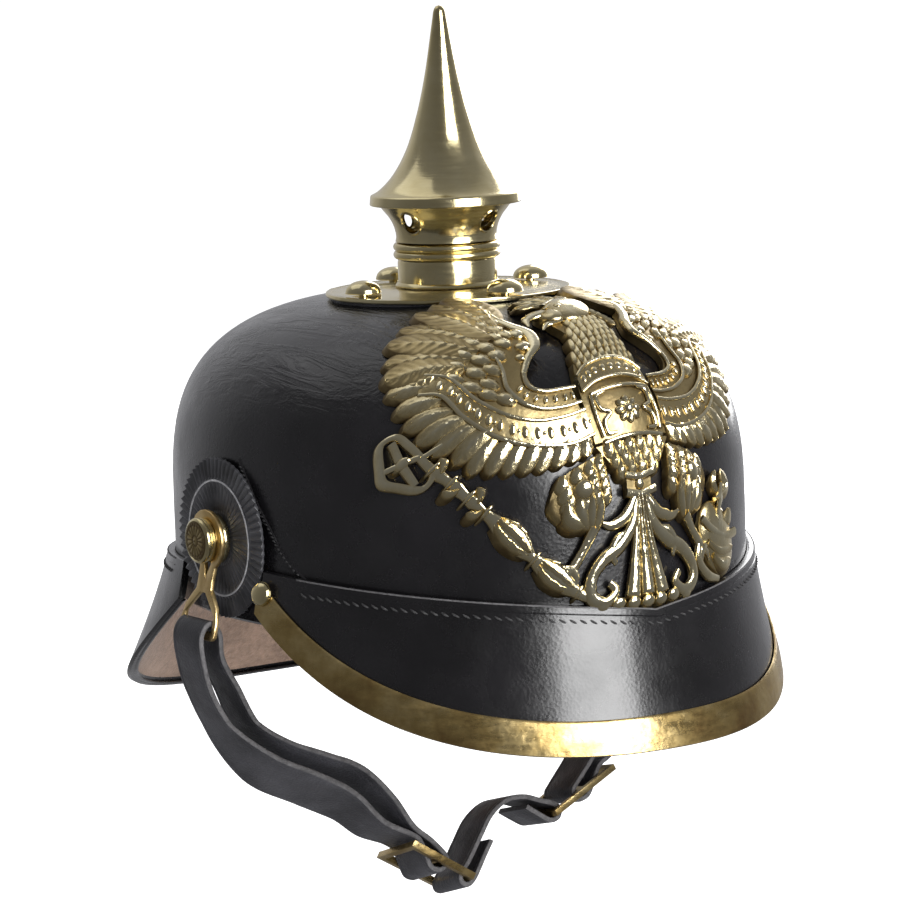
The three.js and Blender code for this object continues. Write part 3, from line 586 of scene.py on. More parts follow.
def bevelled_copy(name, node, width, look, body):
    """A softened copy of a CAD node: flat faces merged, then every sharp edge rounded."""
    mesh = frame["nodes"][node].data.copy()
    mesh.name = name
    tidy = bmesh.new()
    tidy.from_mesh(mesh)
    bmesh.ops.remove_doubles(tidy, verts=tidy.verts, dist=1e-6)
    bmesh.ops.dissolve_limit(
        tidy, angle_limit=math.radians(2), verts=tidy.verts, edges=tidy.edges,
    )
    sharp = [e for e in tidy.edges if e.is_manifold and e.calc_face_angle(0) > math.radians(35)]
    bmesh.ops.bevel(
        tidy, geom=sharp, offset=width * MM, segments=3, profile=0.5, affect="EDGES",
        clamp_overlap=True,
    )
    bmesh.ops.recalc_face_normals(tidy, faces=tidy.faces)
    tidy.to_mesh(mesh)
    tidy.free()
    mesh.materials.clear()
    mesh.materials.append(LOOKS[look])
    mesh.shade_smooth()
    mesh.set_sharp_from_angle(angle=math.radians(50))
    piece = bpy.data.objects.new(name, mesh)
    bpy.context.scene.collection.objects.link(piece)
    ride_for(piece, body, (node,))


# ---- the helmet's surfaces ---------------------------------------------------

def lerp(a, b, share):
    return a + (b - a) * share


def wall_points(angle, height, inset):
    """Points of the skull's wall. Angle 0 is the front, and inset runs inwards."""
    angle, height = np.broadcast_arrays(np.asarray(angle, float), np.asarray(height, float))
    x = (SKULL["half_width"] - inset) * np.sin(angle)
    y = -(SKULL["half_length"] - inset) * np.cos(angle)
    return np.stack([x, y, height], axis=-1)


def dome_points(angle, lift, inset):
    """Points of the dome. Lift runs from 0 at the spring line to a right angle at the crown."""
    angle, lift = np.broadcast_arrays(np.asarray(angle, float), np.asarray(lift, float))
    shrink = np.cos(lift) ** (2 / SKULL["power"])
    climb = np.maximum(np.sin(lift), 0) ** (2 / SKULL["power"])
    points = wall_points(angle, 0, inset) * shrink[..., None]
    points[..., 2] = SKULL["spring"] + (SKULL["rise"] - inset) * climb
    return points


def brim_points(brim, side, drop, depth):
    """Points of a brim: side -1..1 round the skull, drop 0..1 from seam to edge, depth outwards."""
    side, drop, depth = np.broadcast_arrays(*(np.asarray(v, float) for v in (side, drop, depth)))
    away = np.abs(side)
    angle = side * math.radians(brim["half_angle"])
    seam = lerp(brim["seam_middle"], brim["seam_end"], away ** 0.8)
    edge = lerp(brim["edge_middle"], brim["edge_end"], away ** brim["edge_power"])
    flare = lerp(brim["flare_middle"], brim["flare_end"], away ** brim["flare_power"])
    hug = FIT_GAP + BRIM_THICKNESS
    out = hug + (flare - hug) * np.maximum(drop, 0) ** 1.2 + depth
    points = wall_points(angle, lerp(seam, edge, drop), 0)
    normal_x = np.sin(angle) / SKULL["half_width"]
    normal_y = -np.cos(angle) / SKULL["half_length"]
    size = np.hypot(normal_x, normal_y)
    points[..., 0] += out * normal_x / size
    points[..., 1] += out * normal_y / size
    if brim["facing"] > 0:
        points[..., 1] *= -1
    return points


def askew(x, y):
    """The badge sits a little askew: sideways shifts of its middle and of the wearer's left wing."""
    middle = np.interp(y, [-54, -27, 0, 12, 20, 30, 45], [0.3, -1.8, -3.4, -3.0, -1.5, 0.0, 1.0])
    beyond = np.interp(y, [-50, -38, -28, -15, 4, 26, 36, 46, 60],
                       [0, -2, -4.5, -4.5, -8, -6, 1.5, 6, 9])
    inward = np.clip((x + 20) / 14, 0, 1)
    outward = np.clip((x - 8) / 16, 0, 1)
    return x + inward * (middle * (1 - outward) + beyond * outward)


def badge_points(x, y, rise):
    """Points over the skull behind (x, y) of the leaning badge plane, rise above the leather."""
    x = askew(np.asarray(x, float), np.asarray(y, float))
    x, y, rise = np.broadcast_arrays(*(np.asarray(v, float) for v in (x, y, rise)))
    base = np.stack([x + BADGE_CENTRE, 0 * x, 0 * x], axis=-1) + y[..., None] * BADGE_UP
    near = np.zeros(x.shape)
    far = np.full(x.shape, 200.0)
    for _ in range(32):
        middle = (near + far) / 2
        probe = base + middle[..., None] * BADGE_OUT
        reach = np.hypot(
            probe[..., 0] / (SKULL["half_width"] + rise), probe[..., 1] / (SKULL["half_length"] + rise),
        )
        climb = np.maximum(probe[..., 2] - SKULL["spring"], 0) / (SKULL["rise"] + rise)
        inside = reach ** SKULL["power"] + climb ** SKULL["power"] < 1
        near = np.where(inside, middle, near)
        far = np.where(inside, far, middle)
    return base + near[..., None] * BADGE_OUT


# ---- skull -------------------------------------------------------------------

def build_skull():
    segments = 168
    angle = np.linspace(0, 2 * np.pi, segments, endpoint=False)[:, None]
    heights = np.array([0.9, 3, 6, 10, 15, 20, 25])
    lifts = np.radians(np.concatenate([
        np.linspace(0.0, 10.0, 4), np.linspace(14.0, 76.0, 22), np.linspace(79.0, 87.0, 5),
    ]))
    outer = np.concatenate([wall_points(angle, heights, 0), dome_points(angle, lifts, 0)], axis=1)
    inner = np.concatenate([
        wall_points(angle, heights, LEATHER), dome_points(angle, lifts, LEATHER),
    ], axis=1)
    rim = np.stack([
        wall_points(angle[:, 0], 0.0, inset) for inset in (LEATHER - 0.9, LEATHER / 2, 0.9)
    ], axis=1)
    crown = dome_points(angle[:, :1], lifts[-1:], LEATHER / 2)
    loop = np.concatenate([outer, crown, inner[:, ::-1], rim], axis=1)
    first_inside = outer.shape[1] + 1
    shape = Shape()
    shape.grid(
        loop, close_rows=True,
        slot=lambda i, j: int(first_inside <= j < first_inside + inner.shape[1] - 1),
    )
    shape.finish("skull", ["skull", "inside"], "helmet", "black_leather", ["skull_shell"])


def build_skull_seams():
    """A stitched seam slants down from behind each cockade to the front brim."""
    for name, side in SIDES:
        angle = np.radians([86, 83.5, 80.7, 77.5, 75.2, 71.8, 69])
        height = np.array([52, 46, 38.6, 31.2, 25.2, 19.4, 16.0])
        path = smooth_path(np.stack([angle, height], axis=1), 60)
        ridge = Shape()
        centre = wall_points(side * path[:, 0], path[:, 1], 0.25)
        shrink = np.clip((path[:, 1] - SKULL["spring"]) / SKULL["rise"], 0, 1) ** SKULL["power"]
        centre[:, :2] *= ((1 - shrink) ** (1 / SKULL["power"]))[:, None]
        tube(ridge, centre, 0.75, sides=10, up=(side, 0, 0), flat=0.9)
        ridge.finish(f"skull_seam_{name}", ["skull"], "helmet", "black_leather")
        stitches = Shape()
        for k in range(3, 57, 2):
            start, end = centre[k], centre[k + 1]
            out = np.array([side * 0.75, 0, 0])
            shift = np.array([0, -1.1, -0.5])
            tube(stitches, np.linspace(start + out + shift, end + out - shift, 5),
                 [0.1, 0.3, 0.34, 0.3, 0.1], sides=8, up=(side, 0, 0))
        stitches.finish(f"skull_stitches_{name}", ["thread"], "helmet", "black_leather")


# ---- brims and trim ----------------------------------------------------------

def brim_shape(brim):
    """The leather of one brim with rounded seam and hem, brown underneath."""
    side = np.linspace(-1, 1, 161)[:, None]
    drops = np.linspace(0, 1, 22)
    outer = brim_points(brim, side, drops, 0)
    inner = brim_points(brim, side, drops, -BRIM_THICKNESS)
    middle = -BRIM_THICKNESS / 2
    hem = brim_points(brim, side, 1 + 0.0 * drops[:1], middle)
    hem[..., 2] -= 0.5
    top = brim_points(brim, side, 0 * drops[:1], middle)
    top[..., 2] += 0.35
    loop = np.concatenate([outer, hem, inner[:, ::-1], top], axis=1)
    shape = Shape()
    first_inside = outer.shape[1] + 2
    shape.grid(
        loop, close_rows=False, caps=True,
        slot=lambda i, j: int(first_inside <= j < first_inside + inner.shape[1] - 2),
    )
    return shape


def along_brim(brim, below, rise, pitch, limit):
    """The side values of places evenly spaced along a brim, that far below its seam."""
    side = np.linspace(-limit, limit, 801)
    length = np.linalg.norm(brim_points(brim, side, 1, 0) - brim_points(brim, side, 0, 0), axis=1)
    line = brim_points(brim, side, below / length, rise)
    gone = np.concatenate([[0], np.cumsum(np.linalg.norm(np.diff(line, axis=0), axis=1))])
    stations = np.arange(pitch, gone[-1] - pitch, pitch)
    return np.interp(stations, gone, side)


def brim_line(brim, side, below, rise):
    length = np.linalg.norm(brim_points(brim, side, 1, 0) - brim_points(brim, side, 0, 0), axis=-1)
    return brim_points(brim, side, below / length, rise)


def build_brim_stitches(name, brim, limit):
    stitch_row = 4.6
    pitch = 3.3
    places = along_brim(brim, stitch_row, 0.1, pitch, limit)
    stitches = Shape()
    spread = 1.25 / (SKULL["half_length"] * math.radians(brim["half_angle"]))
    for side in places:
        sides = np.linspace(side - spread, side + spread, 5)
        below = np.linspace(stitch_row - 0.55, stitch_row + 0.55, 5)
        path = brim_line(brim, sides, below, np.array([-0.15, 0.15, 0.22, 0.15, -0.15]))
        tube(stitches, path, [0.16, 0.34, 0.36, 0.34, 0.16], sides=8, up=(0.02, 0.03, 1))
    stitches.finish(f"{name}_stitches", ["thread"], "helmet", "black_leather")
    edge = Shape()
    sides = np.linspace(-limit, limit, 300)
    tube(edge, brim_line(brim, sides, 0.15, -0.1), 0.3, sides=8, up=(0.02, 0.03, 1))
    edge.finish(f"{name}_seam_edge", ["edge"], "helmet", "black_leather")
    crease = Shape()
    tube(crease, brim_line(brim, sides, 2.4, -0.25), 0.42, sides=8, up=(0.02, 0.03, 1), flat=0.8)
    crease.finish(f"{name}_crease", ["skull"], "helmet", "black_leather")


def build_brims():
    brim_shape(FRONT_BRIM).finish(
        "front_visor_leather", ["skull", "inside"], "helmet", "black_leather", ["front_visor"],
    )
    brim_shape(REAR_BRIM).finish(
        "rear_visor_leather", ["skull", "inside"], "helmet", "black_leather", ["rear_visor"],
    )
    build_brim_stitches("front_visor", FRONT_BRIM, 0.9)
    build_brim_stitches("rear_visor", REAR_BRIM, 0.93)
    hem = Shape()
    side = np.linspace(-0.99, 0.99, 220)
    below_face = brim_points(REAR_BRIM, side, 0.985, -BRIM_THICKNESS - 0.1)
    tube(hem, below_face, 1.1, sides=10, up=(0.02, 0.03, 1), flat=0.5)
    hem.finish("rear_visor_hem", ["skull"], "helmet", "black_leather")


def build_trim():
    """The brass channel folded over the front brim's edge, with a rolled lip."""
    width, lip, skin = 10.0, 4.0, 0.8
    side = np.linspace(-1, 1, 201)[:, None]
    length = np.linalg.norm(
        brim_points(FRONT_BRIM, side, 1, 0) - brim_points(FRONT_BRIM, side, 0, 0), axis=-1,
    )
    wide = np.minimum(width, 0.72 * length)
    over = FIT_GAP + skin
    inside = -BRIM_THICKNESS

    def at(above, depth):
        return brim_points(FRONT_BRIM, side, 1 - above / length, depth)

    rows = [
        at(wide, FIT_GAP + 0.1), at(wide + 0.05, over - 0.25), at(wide - 0.3, over),
        at(wide - 0.9, over + 0.12), at(0.75 * wide, over + 0.16), at(0.5 * wide, over + 0.22),
        at(0.25 * wide, over + 0.16), at(0.6, over), at(-0.5 * over, over - 0.1), at(-over + 0.1, 0.3),
        at(-over, inside / 2), at(-over + 0.1, inside - 0.3), at(-0.5 * over, inside - over + 0.1),
        at(0.4, inside - over), at(lip - 0.3, inside - over), at(lip, inside - FIT_GAP - 0.2),
        at(lip, inside - FIT_GAP), at(-FIT_GAP, inside - FIT_GAP), at(-FIT_GAP, FIT_GAP),
    ]
    shape = Shape()
    shape.grid(np.concatenate(rows, axis=1), close_rows=False, caps=True)
    shape.finish("brim_trim", ["aged"], "helmet", "aged_brass", ["visor_trim"])


# ---- crown plate, studs and spike --------------------------------------------

def dome_profile(radius, height, steps=10):
    lift = np.linspace(0, np.pi / 2, steps)
    return [(radius * math.cos(a), height * math.sin(a)) for a in lift]


# The height at which the crown studs sit.
STUD_SEAT = 100.05


def build_studs():
    for i in range(4):
        node = f"base_stud_{i + 1}"
        low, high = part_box(node)
        centre = [(low[0] + high[0]) / 2 / MM, (low[1] + high[1]) / 2 / MM, STUD_SEAT]
        shape = Shape()
        flange = [(0.01, -9.5), (1.5, -9.5), (1.5, -0.02), (5.8, -0.02), (5.95, 0.2), (5.9, 0.4)]
        dome = [(r, z + 0.4) for r, z in dome_profile(5.8, 3.7, 14)]
        shape.lathe(flange + dome[:-1] + [(0.01, 4.1)], 48)
        shape.moved(centre, (0, 0, 1))
        shape.finish(f"crown_stud_{i + 1}", ["brass"], "helmet", "brass", [node])


def build_trim_studs():
    """One domed stud near each end of the brim's trim."""
    for name, side in SIDES:
        along = side * 0.985
        drop = 0.45
        above = FIT_GAP + 0.8 + 0.4
        seat = brim_points(FRONT_BRIM, along, drop, above)
        around = brim_points(FRONT_BRIM, along + 0.01, drop, above) - seat
        down = brim_points(FRONT_BRIM, along, drop + 0.05, above) - seat
        out = np.cross(down, around)
        shape = Shape()
        skirt = [(0.01, -3.3), (1.4, -3.3), (1.4, 0.0), (3.75, 0.0), (3.9, 0.2), (3.85, 0.5)]
        dome = [(r, z + 0.5) for r, z in dome_profile(3.75, 2.1)]
        shape.lathe(skirt + dome[:-1] + [(0.01, 2.6)], 40)
        shape.moved(seat, out / np.linalg.norm(out))
        shape.finish(f"trim_rivet_{name}", ["brass"], "helmet", "brass", [f"trim_stud_{name}"])


def turned_brass(name, profile, segments, body, node, sharp=40):
    shape = Shape()
    shape.lathe(profile, segments)
    return shape.finish(name, ["brass"], body, "brass", [node], sharp=sharp)


def build_crown_plate():
    turned_brass("crown_plate", [
        (CROWN_HOLE_RADIUS, 100), (22, 99.95), (30, 99.6), (36, 99.05), (38.2, 98.9), (39.4, 99.2),
        (40.1, 99.0), (40.3, 98.4), (40.1, 97.8), (39.4, 97.5), (38.2, 97.7), (36, 97.95), (30, 98.4),
        (CROWN_HOLE_RADIUS, 98.8),
    ], 160, "helmet", "base_plate")


def build_gasket():
    """A leather layer that fills the gap between the skull and the crown plate."""
    around = np.linspace(0, 2 * np.pi, 120, endpoint=False)[:, None]
    radii = np.array([[13.0, 20, 30, 38.6]])
    x, y = radii * np.sin(around), -radii * np.cos(around)
    reach = np.hypot(x / SKULL["half_width"], y / SKULL["half_length"]) ** SKULL["power"]
    skin = SKULL["spring"] + SKULL["rise"] * (1 - reach) ** (1 / SKULL["power"]) + 0.05
    lid = np.interp(radii, [12, 30, 37.5], [98.75, 98.35, 97.75]) + 0 * around
    gasket = Shape()
    top = np.stack([x, y, np.maximum(lid, skin + 0.05)], axis=2)
    under = np.stack([x, y, np.minimum(skin, lid)], axis=2)[:, ::-1]
    gasket.grid(np.concatenate([top, under], axis=1), close_rows=True)
    gasket.finish("plate_gasket", ["strap"], "helmet", "black_leather")


def build_neck_and_beads():
    turned_brass("neck", [
        (10.5, 100.3), (17.0, 100.3), (17.2, 100.7), (16.9, 101.2), (16.35, 101.7), (16.3, 103),
        (16.3, 108.2), (16.1, 108.8), (13.0, 108.8), (13.0, 117.8), (10.5, 117.8),
    ], 120, "helmet", "spike_neck")
    profile = [(13.2, 109.1), (16.2, 109.1)]
    for middle in (110.6, 113.2):
        profile += [
            (16.35 + 1.25 * math.cos(a), middle + 1.35 * math.sin(a))
            for a in np.linspace(-1.35, 1.35, 11)
        ]
    profile += [(16.2, 114.7), (13.2, 114.7)]
    turned_brass("neck_beads", profile, 120, "spike_ring", "bead_ring")


def build_collar():
    outline = smooth_path([
        (16.8, 115.0), (16.5, 116.4), (16.8, 118.6), (17.4, 120.5), (18.6, 122.8), (20.4, 125.1),
        (21.6, 126.7),
    ], 22)
    inner = [(19.8, 126.7), (17.0, 122.8), (15.4, 120.2), (13.2, 118.6), (13.2, 115.0)]
    profile = [tuple(p) for p in outline] + inner
    piece = turned_brass("collar", profile, 144, "spike", "spike_collar")
    cut_vents(piece, outline)


def build_cone():
    flank = smooth_path([
        (24.3, 130.2), (22.2, 131.3), (17.4, 136), (12.4, 144.5), (8.5, 156), (5.4, 169), (2.4, 186.5),
        (1.8, 189.8), (1.2, 190.9), (0.05, 191.3),
    ], 64)
    rim = [(23.9, 127.0), (24.65, 127.0), (24.8, 127.2), (24.75, 127.6), (24.55, 129.7), (24.45, 130.0)]
    hollow = [(0.05, 178), (3.6, 169), (10.6, 144.5), (20.6, 130), (20.8, 127)]
    profile = rim + [tuple(p) for p in flank] + hollow
    turned_brass("cone", profile, 144, "spike", "spike_cone", sharp=55)


def cut_vents(collar, outline):
    """Four round vents with a thin raised lip, cut right through the collar."""
    height, radius = 121.6, 3.6
    first_angle = 16.5
    drill_out, drill_depth = 19, 16
    lip_radius = 0.38
    lips = Shape()
    for i in range(4):
        angle = math.radians(first_angle) + i * math.pi / 2
        out = Vector((math.sin(angle), -math.cos(angle), 0))
        drill = bpy.data.meshes.new(f"vent_drill_{i}")
        made = bmesh.new()
        bmesh.ops.create_cone(
            made, cap_ends=True, segments=40, radius1=radius * MM, radius2=radius * MM,
            depth=drill_depth * MM,
        )
        made.to_mesh(drill)
        made.free()
        cutter = bpy.data.objects.new(f"vent_drill_{i}", drill)
        bpy.context.scene.collection.objects.link(cutter)
        turn = out.to_track_quat("Z", "Y").to_matrix().to_4x4()
        middle = out * drill_out * MM + Vector((0, 0, height * MM))
        cutter.matrix_world = Matrix.Translation(middle) @ turn
        modifier = collar.modifiers.new(f"vent_{i}", "BOOLEAN")
        modifier.object = cutter
        modifier.operation = "DIFFERENCE"
        modifier.solver = "EXACT"
        around = np.linspace(0, 2 * np.pi, 40, endpoint=False)
        level = height + radius * np.sin(around)
        wall = np.interp(level, outline[:, 1], outline[:, 0])
        swing = angle + radius * np.cos(around) / wall
        ring = np.stack([(wall + 0.05) * np.sin(swing), -(wall + 0.05) * np.cos(swing), level], axis=1)
        tube(lips, ring, lip_radius, closed=True, sides=8, up=tuple(out))
    bpy.context.view_layer.update()
    depsgraph = bpy.context.evaluated_depsgraph_get()
    cut = bpy.data.meshes.new_from_object(collar.evaluated_get(depsgraph))
    collar.modifiers.clear()
    collar.data = cut
    for cutter in [o for o in bpy.data.objects if o.name.startswith("vent_drill_")]:
        bpy.data.objects.remove(cutter)
    cut.shade_smooth()
    cut.set_sharp_from_angle(angle=math.radians(40))
    lips.finish("vent_lips", ["brass"], "spike", "brass")


# ---- badge -------------------------------------------------------------------

# How far the badge's sheet stands over the leather, how far its underside does, and how bright the
# tops of the badge's round bars are, as polish and as painted highlight.
PAD = 1.7
PAD_SINK = 0.3
CORD_POLISH_AND_HIGHLIGHT = 0.95
# The badge's broad bulges: x, y, half width, half height and rise of each.
SWELLS = (
    (0, -2, 13, 17, 2.8), (1, 32, 9, 16, 2.4), (-26, 27, 9, 10, 2.0), (-38, 6, 12, 9, 1.0),
    (-19, -25, 8, 8, 2.8), (26, 27, 9, 10, 2.0), (38, 6, 12, 9, 1.0), (19, -25, 8, 8, 2.8),
)


def swell(x, y):
    """The height of the badge's broad modelling over its flat sheet."""
    total = PAD + 0 * np.asarray(x, float)
    for centre_x, centre_y, wide, tall, rise in SWELLS:
        total = total + rise * np.exp(-(((x - centre_x) / wide) ** 2) - ((y - centre_y) / tall) ** 2)
    return total


def flipped(points, mirror):
    return [(-x, y) for x, y in points] if mirror else list(points)


def leaf(shape, path, half_width, base=0.5, crown=0.9, rib=0.35, barbs=0, rows=14, columns=9, root=0.55,
         shine=1.0):
    """One feather or leaf along (x, y) points: domed, with a middle rib and slanting barbs."""
    spine = smooth_path(path, rows)
    along = tangents(spine)
    across = np.stack([-along[:, 1], along[:, 0]], axis=1)
    share = np.linspace(0, 1, rows)
    widest = 0.55
    width = np.where(
        share < widest, root + (1 - root) * np.sin(np.pi / 2 * share / widest),
        np.sqrt(np.clip(1 - ((share - widest) / (1.0 - widest)) ** 2, 0.006, 1)),
    ) * half_width
    place = np.linspace(-1, 1, columns)
    x = spine[:, :1] + across[:, :1] * width[:, None] * place
    y = spine[:, 1:] + across[:, 1:] * width[:, None] * place
    dome = (1 - place ** 2) ** 0.6
    height = crown * dome[None, :] * (0.35 + 0.65 * np.sin(np.pi * np.clip(share, 0.05, 0.9)))[:, None]
    height = height + rib * np.exp(-((place / 0.16) ** 2))[None, :] * (1 - share ** 3)[:, None]
    if barbs:
        wave = np.sin(2 * np.pi * (barbs * share[:, None] - 1.6 * np.abs(place)[None, :]))
        height = height + 0.13 * wave * dome[None, :]
    # Higher parts of the leaf get a paler colour and lower parts a browner one: wear and tarnish, plus
    # painted shade in the low parts.
    wear_and_shade = (np.clip(height / (crown + rib), 0, 1) * 0.85 + 0.15) * shine
    top = badge_points(x, y, swell(x, y) + base + height)
    foot = [badge_points(x[:, k], y[:, k], 0.35)[:, None] for k in (0, -1)]
    loop = np.concatenate([foot[0], top, foot[1]], axis=1)
    # The foot rows, where the leaf meets the sheet, get the darkest brown: painted shade between the
    # parts.
    dark = np.full((rows, 1), 0.05)
    shape.grid(loop, caps=True, wear_and_shade=np.concatenate([dark, wear_and_shade, dark], axis=1))


def cord_on_badge(shape, path, radius, base=0.6, closed=False, samples=40, sides=8, flat=0.8):
    """A half-sunk round bar along (x, y) points of the badge; radius may be a list of values."""
    line = smooth_path(path, samples, closed)
    along = tangents(line, closed)
    across = np.stack([-along[:, 1], along[:, 0]], axis=1)
    if not np.isscalar(radius):
        radius = np.interp(np.linspace(0, 1, samples), np.linspace(0, 1, len(radius)), radius)
    radius = np.broadcast_to(radius, samples)[:, None]
    turn = np.linspace(0, 2 * np.pi, sides, endpoint=False)[None, :]
    x = line[:, :1] + across[:, :1] * radius * np.cos(turn)
    y = line[:, 1:] + across[:, 1:] * radius * np.cos(turn)
    rise = swell(line[:, :1], line[:, 1:]) + base + flat * radius * np.sin(turn)
    # Each bar is painted pale along its top and brown down its sides: polish, plus painted highlight
    # and painted shade.
    shine = np.clip(0.35 + 0.65 * np.sin(turn), 0.05, 1) * CORD_POLISH_AND_HIGHLIGHT + 0 * radius
    points = badge_points(x, y, np.maximum(rise, 0.3))
    shape.grid(points, close_rows=closed, caps=not closed, wear_and_shade=shine)


def boss(shape, x, y, wide, tall, rise, turn=0.0, base=0.2, wear_and_shade=0.95, rings=6, segments=16):
    """A domed oval bump on the badge."""
    lift = np.linspace(0.0, np.pi / 2 * 0.97, rings)[:, None]
    around = np.linspace(0, 2 * np.pi, segments, endpoint=False)[None, :]
    local_x = wide * np.cos(lift) * np.cos(around)
    local_y = tall * np.cos(lift) * np.sin(around)
    px = x + local_x * math.cos(turn) - local_y * math.sin(turn)
    py = y + local_x * math.sin(turn) + local_y * math.cos(turn)
    height = swell(x, y) + base + rise * np.sin(lift) + 0 * px
    height[0] = 0.35
    # A bump is painted pale on top and brown round its foot: polish, plus painted highlight and painted
    # shade.
    shine = np.clip(0.2 + 0.8 * np.sin(lift) * wear_and_shade, 0.05, 1) + 0 * px
    shape.grid(badge_points(px, py, height), caps=True, wear_and_shade=shine)


def pad(shape, first, second, rows=26, columns=12):
    """The stamped sheet between two edge curves, following the badge's broad modelling."""
    one = smooth_path(first, rows)
    two = smooth_path(second, rows)
    share = np.linspace(0, 1, columns)[None, :, None]
    flat = one[:, None, :] * (1 - share) + two[:, None, :] * share
    x, y = flat[..., 0], flat[..., 1]
    top = badge_points(x, y, swell(x, y) + 0.55)
    under = badge_points(x, y, np.full(x.shape, PAD_SINK))[:, ::-1]
    # The sheet between the raised parts takes a low value, so it is brown: tarnish plus painted recess
    # shade.
    shape.grid(np.concatenate([top, under], axis=1), caps=True, wear_and_shade=0.22)


WING_INNER = [(-16, 7), (-21, 7.5), (-26, 9), (-28, 14), (-24, 21), (-19.5, 27), (-19, 34), (-21, 42),
              (-20, 48), (-17, 53)]
WING_OUTER = [(-16, -12), (-25, -13), (-36, -11.5), (-45, -6), (-53, 2), (-58, 12), (-58.5, 24),
              (-54, 36), (-44, 47), (-34, 53), (-20, 58)]
BAND_UPPER = [(-52, 27.5), (-47.5, 23.5), (-44, 12), (-38.5, 4), (-31, -0.4), (-23, -1.6), (-15, -1.3)]
BAND_LOWER = [(-56, 21.5), (-51.5, 18.5), (-48.6, 8.6), (-43.6, 0.3), (-36.5, -5.5), (-28.3, -9),
              (-21.5, -10.2), (-14, -9.3)]
SHOULDER_OUTER = [(-33, 27), (-33.5, 19.5), (-35, 12.3), (-33, 6.4), (-28, 2.8), (-21, 1.5), (-15, 1.6)]
SHOULDER_INNER = [(-25, 21), (-28.6, 15.9), (-29, 10.8), (-25.5, 8.1), (-20, 7.4), (-15, 7)]


def fan(roots, tips):
    """Pairs of root and tip points with a middle point pushed aside, so that the feathers curve."""
    routes = []
    for root, tip in zip(roots, tips):
        middle = [(root[0] + tip[0]) / 2, (root[1] + tip[1]) / 2]
        bow = 0.07
        middle[0] += bow * (tip[1] - root[1])
        middle[1] -= bow * (tip[0] - root[0])
        routes.append([root, tuple(middle), tip])
    return routes


def build_wing(name, mirror, replaced):
    def put(points):
        return flipped(points, mirror)

    shape = Shape()
    pad(shape, put(WING_INNER), put(WING_OUTER))
    for k, (root, tip) in enumerate((
        ((-27, 34), (-27.5, 59.5)), ((-33, 31), (-45.5, 50)), ((-39, 27), (-57.5, 37)),
        ((-44, 24), (-61, 25)), ((-25, 37), (-20, 62.5)), ((-30, 32), (-36.5, 56)),
        ((-36, 29), (-53, 44.5)), ((-42, 25), (-60.5, 31)),
    )):
        middle = (0.45 * root[0] + 0.55 * tip[0] + 1.6, 0.45 * root[1] + 0.55 * tip[1] + 1.0)
        leaf(shape, put([root, middle, tip]), 5.2 if k < 4 else 6.0, base=0.5 + 0.45 * (k // 4),
             crown=0.75, rib=0.55, barbs=8, rows=56, columns=17, root=0.4, shine=0.62)
    side_tips = [(-61.5, 26), (-61.8, 19), (-61.5, 13), (-60, 7), (-57, 1.5), (-53, -3.5)]
    side_roots = [(-52, 22.5), (-51.5, 17), (-50, 12), (-47.5, 8), (-44.5, 5), (-42, 2)]
    for k, route in enumerate(fan(side_roots, side_tips)):
        leaf(shape, put(route), 3.4, base=0.45 + 0.3 * (k % 2), crown=0.9, rib=0.4, barbs=5, rows=24,
             columns=9)
    low_tips = [(-49.3, -8.3), (-45.2, -10.6), (-40.8, -12.4), (-36.4, -13.8), (-32, -14.9),
                (-27.4, -15.4), (-22.8, -15.3), (-18.4, -15)]
    low_roots = [(-42, -0.5), (-38.5, -3), (-35, -5), (-31, -6.8), (-27, -7.8), (-23, -8.6),
                 (-19.5, -9), (-16, -9)]
    for k, route in enumerate(fan(low_roots, low_tips)):
        leaf(shape, put(route), 2.9, base=0.4 + 0.3 * (k % 2), crown=1.0, rib=0.3, barbs=3, rows=18,
             columns=9)
    build_wing_bands(shape, put)
    build_wing_scales(shape, put)
    shape.finish(name, ["badge"], "helmet", "brass", replaced, 60)


def build_wing_bands(shape, put):
    upper = smooth_path(put(BAND_UPPER), 60)
    lower = smooth_path(put(BAND_LOWER), 60)
    ribbon = np.stack([upper * (1 - s) + lower * s for s in np.linspace(0, 1, 7)], axis=1)
    x, y = ribbon[..., 0], ribbon[..., 1]
    top = badge_points(x, y, swell(x, y) + 1.25)
    under = badge_points(x, y, swell(x, y) - 0.4)[:, ::-1]
    shape.grid(np.concatenate([top, under], axis=1), caps=True, wear_and_shade=0.42)
    for line in (BAND_UPPER, BAND_LOWER):
        cord_on_badge(shape, put(line), 0.62, base=1.35, samples=60)
    middle = (upper + lower) / 2
    for k in range(5, 58, 4):
        slant = math.atan2(*(upper[k] - lower[k])[::-1])
        boss(shape, *middle[k], 2.0, 0.95, 0.75, turn=slant, base=1.15, segments=12)
        if k % 8 == 1:
            boss(shape, *middle[k + 2], 0.7, 0.7, 0.6, base=1.15, segments=10, rings=4)
    for line in (SHOULDER_OUTER, SHOULDER_INNER):
        cord_on_badge(shape, put(line), [0.4, 0.7, 0.75, 0.7, 0.6], base=1.0, samples=46)
    outer = smooth_path(put(SHOULDER_OUTER[2:]), 24)
    inner = smooth_path(put(SHOULDER_INNER[1:]), 24)
    for k in range(3, 24, 3):
        spot = (outer[k] + inner[k]) / 2
        slant = math.atan2(*(outer[k] - inner[k])[::-1])
        boss(shape, *spot, 1.5, 0.75, 0.6, turn=slant, base=0.9, segments=10, rings=4)


